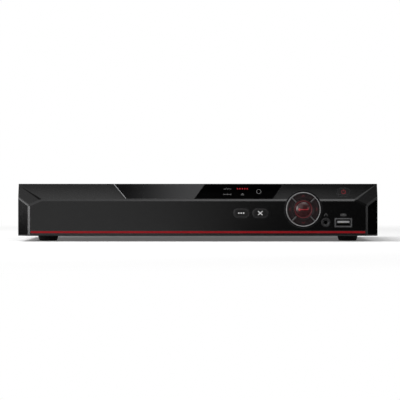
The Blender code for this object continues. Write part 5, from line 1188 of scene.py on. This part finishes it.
# %% Round socket
FACE_SIGN_W, ARCH_R, ARCH_UP, PLUG_UP = 0.32, 1.15, 6.6, 7.0  # the signs above the two sockets
jack, jack_back = seat("audio_jack")
cup = [(0, -14), (1.8, -14), (1.8, -0.6), (2.0, -0.42), (2.7, -0.12), (2.85, 0.2), (3.1, 0.3), (3.65, 0.3),
       (3.85, 0.2), (3.9, 0.0), (3.9, -2.5), (4.9, -2.5), (4.9, -jack_back), (0, -jack_back)]
sleeve = [(1.78, -9), (1.78, -3.2), (1.70, -3.05), (1.55, -3.2), (1.55, -9), (1.78, -9)]
piece("round_socket", [turned(cup, jack)], "socket_black", replaces="audio_jack")
piece("round_socket_sleeve", [turned(sleeve, jack, 32)], "nickel")
piece("round_socket_ring", [turned(round_ring(3.45, 2.95, 0.36, -0.1, 7), jack, 64)], "faint_line")
arch = [arc_line(ARCH_R, 0, 180, 12), *[[(x, 0), (x, -0.75)] for x in (-ARCH_R, ARCH_R)]]
grey_sign("listen_sign", strokes(arch, FACE_SIGN_W, shifted(jack, up=ARCH_UP)))
plug = shifted(seat("front_usb_port")[0], up=PLUG_UP)
grey_sign("plug_sign", [outlined(rounded(4.9, 1.9, 0.2), 0, FACE_SIGN_W, plug),
                        stroke([(-1.2, 0.1), (1.2, 0.1)], FACE_SIGN_W, plug)])
print("round socket made")

# %% [markdown]
# ## Video sockets
# Each of the eight bayonet sockets is a nickel barrel with a thread, a six-sided nut, a washer, two lugs, a
# white insulator and a gold pin in the bore, on a block behind the panel. A true thread is a helix, but at
# this size rings of saw teeth look the same, and the barrel stays one turned profile. The profiles are drawn
# once, and then turned about each socket's own axis.

# %% Video socket drawings
VIDEO = [f"video_socket_{number}" for number in range(1, 9)]
BARREL_OUT, LUG_OUT, VIDEO_BLOCK = 12.5, 9.9, 14.5
PANEL_IN = -1.35  # the inner side of the rear panel, where a socket's block begins


def thread(radius, low, high, pitch):
    """A saw-toothed profile up a barrel: the radius dips by three tenths of the pitch between crests."""
    level = np.linspace(low, high, int(round((high - low) / pitch)) * 2 + 1)
    dip = np.where(np.arange(len(level)) % 2, 0.3 * pitch, 0)
    return np.column_stack([radius - dip, level])


def rear_block(node, size, out, place):
    """A square block behind the panel, as long as the solid less what stands out of the panel."""
    return soft_block(rounded(size, size, 0.4), PANEL_IN, out - np.ptp(box(node), axis=0)[1], place, 0.2)


barrel = [(4.05, 2.1), (4.05, -1.6), (6.0, -1.6), (6.0, 1.0), (4.8, 1.0), *thread(4.8, 1.2, 5.4, 0.6),
          (4.8, 5.6), (4.8, 12.1), (4.65, 12.4), (4.4, BARREL_OUT), (4.2, 12.45), (4.05, 12.2), (4.05, 2.1)]
nut = [(4.85, 0.3), (6.3, 0.3), (6.9, 0.55), (6.9, 1.75), (6.3, 2.0), (4.85, 2.0), (4.85, 0.3)]
washer = [(4.85, 0.02), (6.95, 0.02), (6.95, 0.28), (4.85, 0.28), (4.85, 0.02)]
lug = [(0, 4.4), (1.0, 4.4), (1.0, 5.5), (0.8, 5.7), (0, 5.7)]
core = [(0, 2.0), (4.04, 2.0), (4.04, 2.6), (2.2, 2.6), (2.2, 5.8), (2.05, 6.0), (0.75, 6.0), (0.75, 3.0),
        (0, 3.0)]
pin = [(0.72, 3.0), (0.72, 5.6), (0.6, 5.75), (0.42, 5.75), (0.42, 3.2), (0.72, 3.0)]
print("video sockets drawn, standing out by", BARREL_OUT, "mm")

# %% [markdown]
# ### Video sockets on the panel
# The sockets stand in two rows on the rear panel, with a lug on either side of each barrel. Copies of one
# mesh could be set at the eight places, but here a piece has its place in its mesh, so each barrel is turned
# on its own plane. A lug is turned as well, about an axis that points sideways out of the barrel. Insulators,
# pins and blocks have a finish each, so all eight of a kind are joined in one piece.

# %% Video sockets
video = {node: seat(node)[0] for node in VIDEO}
for node, place in video.items():
    _, _, up, out = place
    lugs = [turned(lug, plane(shifted(place, out=LUG_OUT)[0], up * sign, out), 12) for sign in (-1, 1)]
    piece(node + "_barrel", [turned(barrel, place, 40), turned(nut, place, 6), turned(washer, place, 32),
                             *lugs], "nickel", replaces=node)
piece("video_cores", [turned(core, place, 32) for place in video.values()], "audio_white")
piece("video_pins", [turned(pin, place, 16) for place in video.values()], "gold_contact")
piece("video_blocks", [rear_block(node, VIDEO_BLOCK, BARREL_OUT, place) for node, place in video.items()],
      "socket_black")
print("video sockets made:", len(VIDEO))

# %% [markdown]
# ## Audio sockets
# An audio socket has a coloured collar, a nickel barrel with a flared lip, and a coloured insulator with a
# metal well in its middle. They could be modelled one by one, but all of it shares an axis, so four turned
# profiles make both sockets, and only the colour differs. They stand at the height of the video sockets
# beside them.

# %% Audio sockets
TUBE_OUT, AUDIO_BLOCK = 9.5, 11.9


def middle(node):
    """The middle of a solid's box: half of the low corner + the high one."""
    return np.mean(box(node), axis=0)


collar = [(4.16, 0.3), (5.3, 0.3), (5.6, 0.6), (5.6, 2.6), (5.3, 3.0), (4.16, 3.0), (4.16, 0.3)]
tube = [(4.15, -1.6), (4.15, 8.9), (4.05, 9.35), (3.85, TUBE_OUT), (3.6, 9.4), (3.5, 9.1), (3.5, -1.6),
        (4.15, -1.6)]
insert = [(1.6, 0.0), (3.48, 0.0), (3.48, 8.0), (3.3, 8.2), (1.85, 8.2), (1.6, 7.9), (1.6, 0.0)]
well = [(0, 0.4), (1.58, 0.4), (1.58, 7.4), (1.42, 7.4), (1.42, 0.8), (0, 0.8)]
audio = {}
for node, paint, beside in (("audio_in_socket", "audio_red", "video_socket_1"),
                            ("audio_out_socket", "audio_white", "video_socket_5")):
    place = audio[node] = on_rear(middle(node)[0], video[beside][0][2])
    piece(node + "_collar", [turned(collar, place, 40), turned(insert, place, 32),
                             rear_block(node, AUDIO_BLOCK, TUBE_OUT, place)], paint, replaces=node)
    piece(node + "_tube", [turned(tube, place, 40), turned(well, place, 24)], "nickel")
print("two audio sockets made")

# %% [markdown]
# ## Screw heads
# A screw's head is a low dome with a slot or a cross pressed in by a punch. A boolean could cut the recess.
# Here the head is a height map in polar steps, whose height drops where a point lies near an axis, so it
# stays one even grid. The drop is spread over a short slope, and that slope catches the light.

# %% Screw heads


def screw_head(place, radius, top, below, steps, sides):
    """A head whose height is top(x, y, r), in shares of its radius, and (radius, height) steps below."""
    head = [np.column_stack([radius * share * circle(sides), top(*(share * circle(sides)).T, share)])
            for share in np.linspace(0, 1, steps)]
    return shell(head + stacked(lambda size: size * circle(sides), below), place)


def slotted(x, y, r):
    """A low dome that drops by half a millimetre where y is small."""
    return 0.25 - 0.12 * r**4 - 0.5 * np.clip((0.24 - np.abs(y)) / 0.06, 0, 1)


print("screw heads ready")

# %% [markdown]
# ### Screw terminal
# The screw terminal is a green block with four ways, each with a slotted screw on top and a clamp behind its
# opening. The block could be drawn again, but its solid has the openings already, so a softened copy stands
# for it. Screws and clamps are drawn once and repeated at the terminal's pitch.

# %% Screw terminal
CLAMP_R, TERMINAL_PITCH = 1.35, 3.8
SCREWS_IN, CLAMPS_UP = 3.4, -2.95  # the screws from the outer side, the clamps from the middle
softened("terminal_block", "screw_terminal", 0.25, "terminal_green")
_, high = box("screw_terminal")
terminal = shifted(seat("screw_terminal")[0], out=high[1] - REAR_Y)
top = plane((terminal[0][0], high[1] - SCREWS_IN, high[2]), (-1, 0, 0), (0, -1, 0))
ways = (np.arange(4) - 1.5) * TERMINAL_PITCH
piece("terminal_screws", [screw_head(shifted(top, x), CLAMP_R, slotted, [(CLAMP_R, -0.6), (0, -0.6)], 9, 40)
                          for x in ways], "nickel")
piece("terminal_clamps", [soft_block(rounded(2.4, 2.4, 0.2), -4.2, -4.8, shifted(terminal, x, CLAMPS_UP))
                          for x in ways], "nickel")
print("screw terminal made")

# %% [markdown]
# ## Flat sockets
# The analogue video socket is a drawn metal shell in the shape of a D, round a blue insert with three rows of
# five holes, between two six-sided posts. The D is a rounded rectangle whose lower corners are drawn in. The
# holes are small dark cups with a rim: cutting them out of the insert would take many thin faces for a detail
# of half a millimetre.

# %% D-shaped video output
HOLE_PITCH, ROW_PITCH, ROW_ASIDE = 2.29, 1.98, -1.14
POST_X = 12.5


def within(outline, inset):
    """The same outline, drawn in."""
    return lambda more: outline(inset + more)


d_socket, d_back = seat("analogue_video_socket")
shape = rounded(16.9, 8.3, 1.8, taper=1.5)
post = [(0, 1.4), (1.25, 1.4), (1.25, 4.3), (1.5, 4.6), (2.6, 4.6), (2.9, 4.35), (2.9, -1.7), (0, -1.7)]
piece("d_shell", [frame_shell(shape, within(shape, 0.55), 5.8, -1.5, d_socket, 0.2),
                  *[turned(post, shifted(d_socket, x), 6) for x in (-POST_X, POST_X)],
                  soft_block(rounded(30.9, 12.4, 0.8), PANEL_IN, -2.2, d_socket, 0.2)],
      "nickel", replaces="analogue_video_socket")
piece("d_insert", [soft_block(within(shape, 0.6), 5.0, -1.5, d_socket, 0.25),
                   cut_block(rounded(30.5, 12.3, 0.5), -2.2, -d_back, d_socket)], "video_blue")
rows = [(x * HOLE_PITCH + aside, up) for up, aside in ((ROW_PITCH, 0), (0, ROW_ASIDE), (-ROW_PITCH, 0))
        for x in range(-2, 3)]
hole = [(0, 5.02), (0.32, 5.02), (0.5, 5.05), (0.62, 5.0), (0.62, 4.9), (0, 4.9)]
piece("d_holes", [turned(hole, shifted(d_socket, x, up), 14) for x, up in rows], "socket_black")
print("D-shaped socket made with", len(rows), "holes")

# %% [markdown]
# ### Flat video output and USB
# The digital video socket is a flat shell whose lower corners are cut in, with a tongue and a row of
# contacts. Six points draw its outline, and the shell runs round it as the USB socket's does. The rear USB
# socket is the front one again, in nickel and without the lip.

# %% Flat video output and USB
FLAT_W, FLAT_H, FLAT_STEP = 15, 5.9, 2.3


def flat_shape(inset):
    """A rectangle whose two lower corners are cut in."""
    w, h = FLAT_W / 2 - inset, FLAT_H / 2 - inset
    foot, knee = w - FLAT_STEP, FLAT_STEP - h
    return np.array([(w, h), (w, knee), (foot, -h), (-foot, -h), (-w, knee), (-w, h)])


flat, flat_back = seat("digital_video_socket")
piece("flat_shell", [frame_shell(flat_shape, within(flat_shape, 0.5), 0.6, -flat_back, flat, 0.1),
                     cut_block(flat_shape, -8.4, -flat_back, flat)], "nickel",
      replaces="digital_video_socket")
piece("flat_tongue", [soft_block(rounded(10.2, 1.3, 0.3), 0, -8.6, flat)], "socket_black")
piece("flat_contacts", [soft_block(rounded(0.45, 0.08, 0.03, 12), -0.3, -7, shifted(flat, x, -0.66))
                        for x in np.linspace(-4.2, 4.2, 10)], "gold_contact")
usb_socket("rear_usb", 0.6, "nickel", lip=False)
print("flat sockets made")

# %% [markdown]
# ### Network socket
# The network socket is a metal shield round a bay with eight spring wires, a comb that keeps them apart, and
# two lamps at its lower corners. The solid has the shield's shape, so a softened copy stands for it. Wires
# and comb are rows of small soft blocks, since only the front ends of the springs show.

# %% Network socket
WIRE_PITCH, WIRES_UP, COMB_UP = 1.02, 3.2, 2.95
BAY_UP, BAY_DEEP = 1, 12.2
LAMP_X, LAMP_Z, SHIELD_OUT = 5.6, -4.9, 0.6
softened("network_shield", "lan_socket", 0.18, "nickel")
network, _ = seat("lan_socket")
bay = shifted(network, up=BAY_UP)
wire_shape, comb_shape = rounded(0.5, 0.35, 0.1, 12), rounded(0.3, 1.2, 0.08, 12)
piece("network_wires", [soft_block(wire_shape, -2.2, -BAY_DEEP, shifted(bay, x * WIRE_PITCH, WIRES_UP))
                        for x in np.arange(8) - 3.5], "gold_contact")
comb = [soft_block(comb_shape, -1.2, -BAY_DEEP, shifted(bay, x * WIRE_PITCH, COMB_UP))
        for x in np.arange(9) - 4]
piece("network_comb", [cut_block(rounded(11.7, 7.1, 0.2), -12.1, -12.5, bay), *comb], "socket_black")
for x, paint, lamp in ((-LAMP_X, "terminal_green", "link"), (LAMP_X, "amber_lamp", "speed")):
    place = shifted(network, x, LAMP_Z, SHIELD_OUT)
    piece("network_lamp_" + lamp, [soft_block(rounded(3, 1.9, 0.3), 0.12, -0.4, place, 0.12)], paint)
print("network socket made")

# %% [markdown]
# ## Power side
# The power inlet is a barrel in a square body, with a gold pin in its bore. Barrel and pin are turned, and
# the body behind the panel is a hollow square, so the hole is real. The rocker switch keeps its solids with
# soft edges: their shape is right, and the rocker already fits its frame at every angle.

# %% Power inlet and switch
inlet, inlet_back = seat("power_inlet")
square = rounded(10.9, 10.9, 0.5)
bore = [(0, -9), (3.2, -9), (3.2, 0.5), (3.5, 0.9), (3.7, 1.0), (4.3, 1.0), (4.6, 0.7), (4.6, -1.6), (0, -9.6)]
pin = [(0, -9), (1.0, -9), (1.0, -1.9), (0.75, -1.55), (0, -1.5)]
piece("inlet_body", [turned(bore, inlet, 40),
                     raised(square, [(3.0, -9.2), (0.1, -9.3), (0, -9.4), (0, -inlet_back)], inlet),
                     frame_shell(square, rounded(6.6, 6.6, 3.2), PANEL_IN, -9.5, inlet, 0.1)],
      "socket_black", replaces="power_inlet")
piece("inlet_pin", [turned(pin, inlet, 24)], "gold_contact")
softened("switch_housing", "switch_frame", 0.3, "socket_black")
softened("switch_paddle", "switch_rocker", 0.3, "key_black", "power_switch_rocker")
print("inlet and switch made")

# %% [markdown]
# ### Switch signs
# The rocker carries a bar and a ring, the common signs for on and off, one on each slope. They have to tip
# with it, so they hang on the rocker's body. The slopes could be looked up in the mesh, but the rocker's own
# drawing says where they are: two slopes that meet in a valley, tilted, and stood on the hinge.

# %% Switch signs
TILT, SLOPE, ROCKER_R = math.radians(11), math.radians(22), 8.2
VALLEY = np.array((0, 1.6))
hinge = next(joint for joint in frame["joints"] if joint["child"] == "power_switch_rocker")


def paddle(sign):
    """The plane of one slope of the rocker: a flat drawing, mirrored, tilted and stood on the pivot."""
    end = ROCKER_R * np.array((sign * math.cos(SLOPE), math.sin(SLOPE)))
    turn = np.array([(math.cos(TILT), -math.sin(TILT)), (math.sin(TILT), math.cos(TILT))])
    run, spot = turn @ (end - VALLEY) * sign, turn @ (VALLEY + end) / 2
    return plane(np.array(hinge["pos_m"]) / MM + (-spot[0], spot[1], 0), (-run[0], run[1], 0), (0, 0, 1))


piece("switch_signs", [stroke([(0, -1.6), (0, 1.6)], 0.5, paddle(1)),
                       turned(round_ring(1.7, 1.2, 0.05, 0.05, 5), paddle(-1), 40)], "white_print",
      "power_switch_rocker")
print("switch signs made")

# %% [markdown]
# ## Screws and feet
# Cross-head screws hold the cover at its sides, and one at the rear is the earth screw. A head is a height
# map, as on the terminal, with a cross in place of the slot. The shank behind it is plain, because its thread
# is out of sight.

# %% Screws
SHANK_R, SHANK_L = 1.5, 3.6
COVER_HEAD_R, EARTH_HEAD_R = 2.9, 3.6


def crossed(x, y, r):
    """A dome with a recess where either coordinate is small and the other within reach."""
    near, far = np.minimum(np.abs(x), np.abs(y)), np.maximum(np.abs(x), np.abs(y))
    return 1.6 - 0.55 * r**3 - 0.75 * np.clip((0.17 - near) / 0.05, 0, 1) * np.clip((0.62 - far) / 0.12, 0, 1)


def cross_screw(node, place, radius):
    """A crossed head over a washer face and a plain shank, for a screw of the frame."""
    below = [(radius, 0.7), (radius, 0.3), (SHANK_R, 0.3), (SHANK_R, -SHANK_L), (0, -SHANK_L)]
    piece(node + "_head", [screw_head(place, radius, crossed, below, 15, 64)], "nickel", replaces=node)


ENDS = ("front", "rear")
cover_x = box("top_cover")[1][0]
for hand, sign in HANDS.items():
    for end in ENDS:
        node = f"cover_screw_{end}_{hand}"
        cross_screw(node, on_side(sign, cover_x, *middle(node)[1:]), COVER_HEAD_R)
earth, _ = seat("earth_screw")
cross_screw("earth_screw", earth, EARTH_HEAD_R)
print("five screws made")

# %% [markdown]
# ### Feet
# The feet are moulded rubber with a slight taper, a ring groove that grips the table, and a well for a screw
# underneath. A cone with loops cut into it would do, but they are round, so one turned profile has all of it
# at once.

# %% Feet
tread = [(0, 5.2), (9.3, 5.2), (9.5, 5.0), (8.35, 0.9), (8.1, 0.35), (7.6, 0.05), (7.2, 0), (6.3, 0),
         (6.1, 0.45), (5.4, 0.45), (5.2, 0), (2.6, 0), (2.4, 0.2), (2.4, 1.6), (0, 1.6)]
for node in [f"foot_{end}_{hand}" for end in ENDS for hand in HANDS]:
    stand = plane((*middle(node)[:2], 0), (1, 0, 0), (0, 1, 0))
    piece(node + "_pad", [turned(tread, stand)], "foot_rubber", replaces=node)
print("four feet made")

# %% [markdown]
# ## Rear signs
# The panel carries plain printed signs: channel numbers one to eight, arrows into and out of the audio
# sockets, and the common signs for direct current and earth. A font could set the numbers, but it draws round
# and heavy faces. Eight short lines of points, drawn as strokes, print like the other signs.

# %% Rear signs
DIGIT_SCALE, DIGIT_W, REAR_SIGN_W = 1.35, 0.32, 0.3
NUMBER_AT, ARROW_ASIDE = (-9.0, 4.6), 8.4  # from the middle of a socket
DIRECT_UP, GROUND_UP = 8.4, 7.2
DIGITS = [
    [(-0.3, 0.5), (0.1, 0.8), (0.1, -0.8)],
    [(-0.4, 0.5), (-0.1, 0.8), (0.25, 0.75), (0.4, 0.4), (0.2, 0.0), (-0.4, -0.8), (0.45, -0.8)],
    [(-0.4, 0.65), (0, 0.8), (0.38, 0.5), (0.05, 0.05), (0.4, -0.4), (0, -0.8), (-0.4, -0.65)],
    [(0.2, -0.8), (0.2, 0.8), (-0.45, -0.3), (0.45, -0.3)],
    [(0.4, 0.8), (-0.3, 0.8), (-0.35, 0.1), (0.1, 0.2), (0.4, -0.25), (0.05, -0.8), (-0.4, -0.65)],
    [(0.3, 0.8), (-0.2, 0.4), (-0.4, -0.3), (0, -0.8), (0.4, -0.35), (0, 0.1), (-0.35, -0.15)],
    [(-0.4, 0.8), (0.42, 0.8), (0.3, 0.5), (-0.1, -0.8)],
    [(0, 0.05), (-0.32, 0.4), (0, 0.8), (0.32, 0.4), (0, 0.05), (-0.4, -0.4), (0, -0.8), (0.4, -0.4),
     (0, 0.05)],
]
numbers = [stroke(np.array(line) * DIGIT_SCALE, DIGIT_W, shifted(place, *NUMBER_AT))
           for line, place in zip(DIGITS, video.values())]
piece("channel_numbers", numbers, "white_print")
marks = []
for way, place in zip((1, -1), audio.values()):
    arrow = [[(way * 1.3, 0), (way * -1.2, 0)], [(way * -0.4, 0.8), (way * -1.3, 0), (way * -0.4, -0.8)]]
    marks += strokes(arrow, DIGIT_W, shifted(place, ARROW_ASIDE))
direct = [[(-1.6, 0.5), (1.6, 0.5)], *[[(x - 0.4, -0.5), (x + 0.4, -0.5)] for x in (-1.2, 0, 1.2)]]
ground = [[(0, 1.5), (0, 0)], *[[(-x, z), (x, z)] for x, z in ((1.5, 0), (0.95, -0.6), (0.4, -1.2))]]
marks += strokes(direct, REAR_SIGN_W, shifted(inlet, up=DIRECT_UP))
marks += strokes(ground, REAR_SIGN_W, shifted(earth, up=GROUND_UP))
piece("rear_signs", marks, "white_print")
print("rear signs made")

# %% [markdown]
# ## Size and end
# The dressed recorder may not outgrow its solids, because other parts are fitted to them. So the largest
# difference between the box of the dressed recorder and the box of its solids is printed.

# %% Size and end
visual_box = [list(corner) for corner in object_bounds()]
grown = np.abs(np.array(visual_box) - np.array(cad_box)).max() / MM
print(f"largest difference between the two boxes: {grown:.3f} mm")
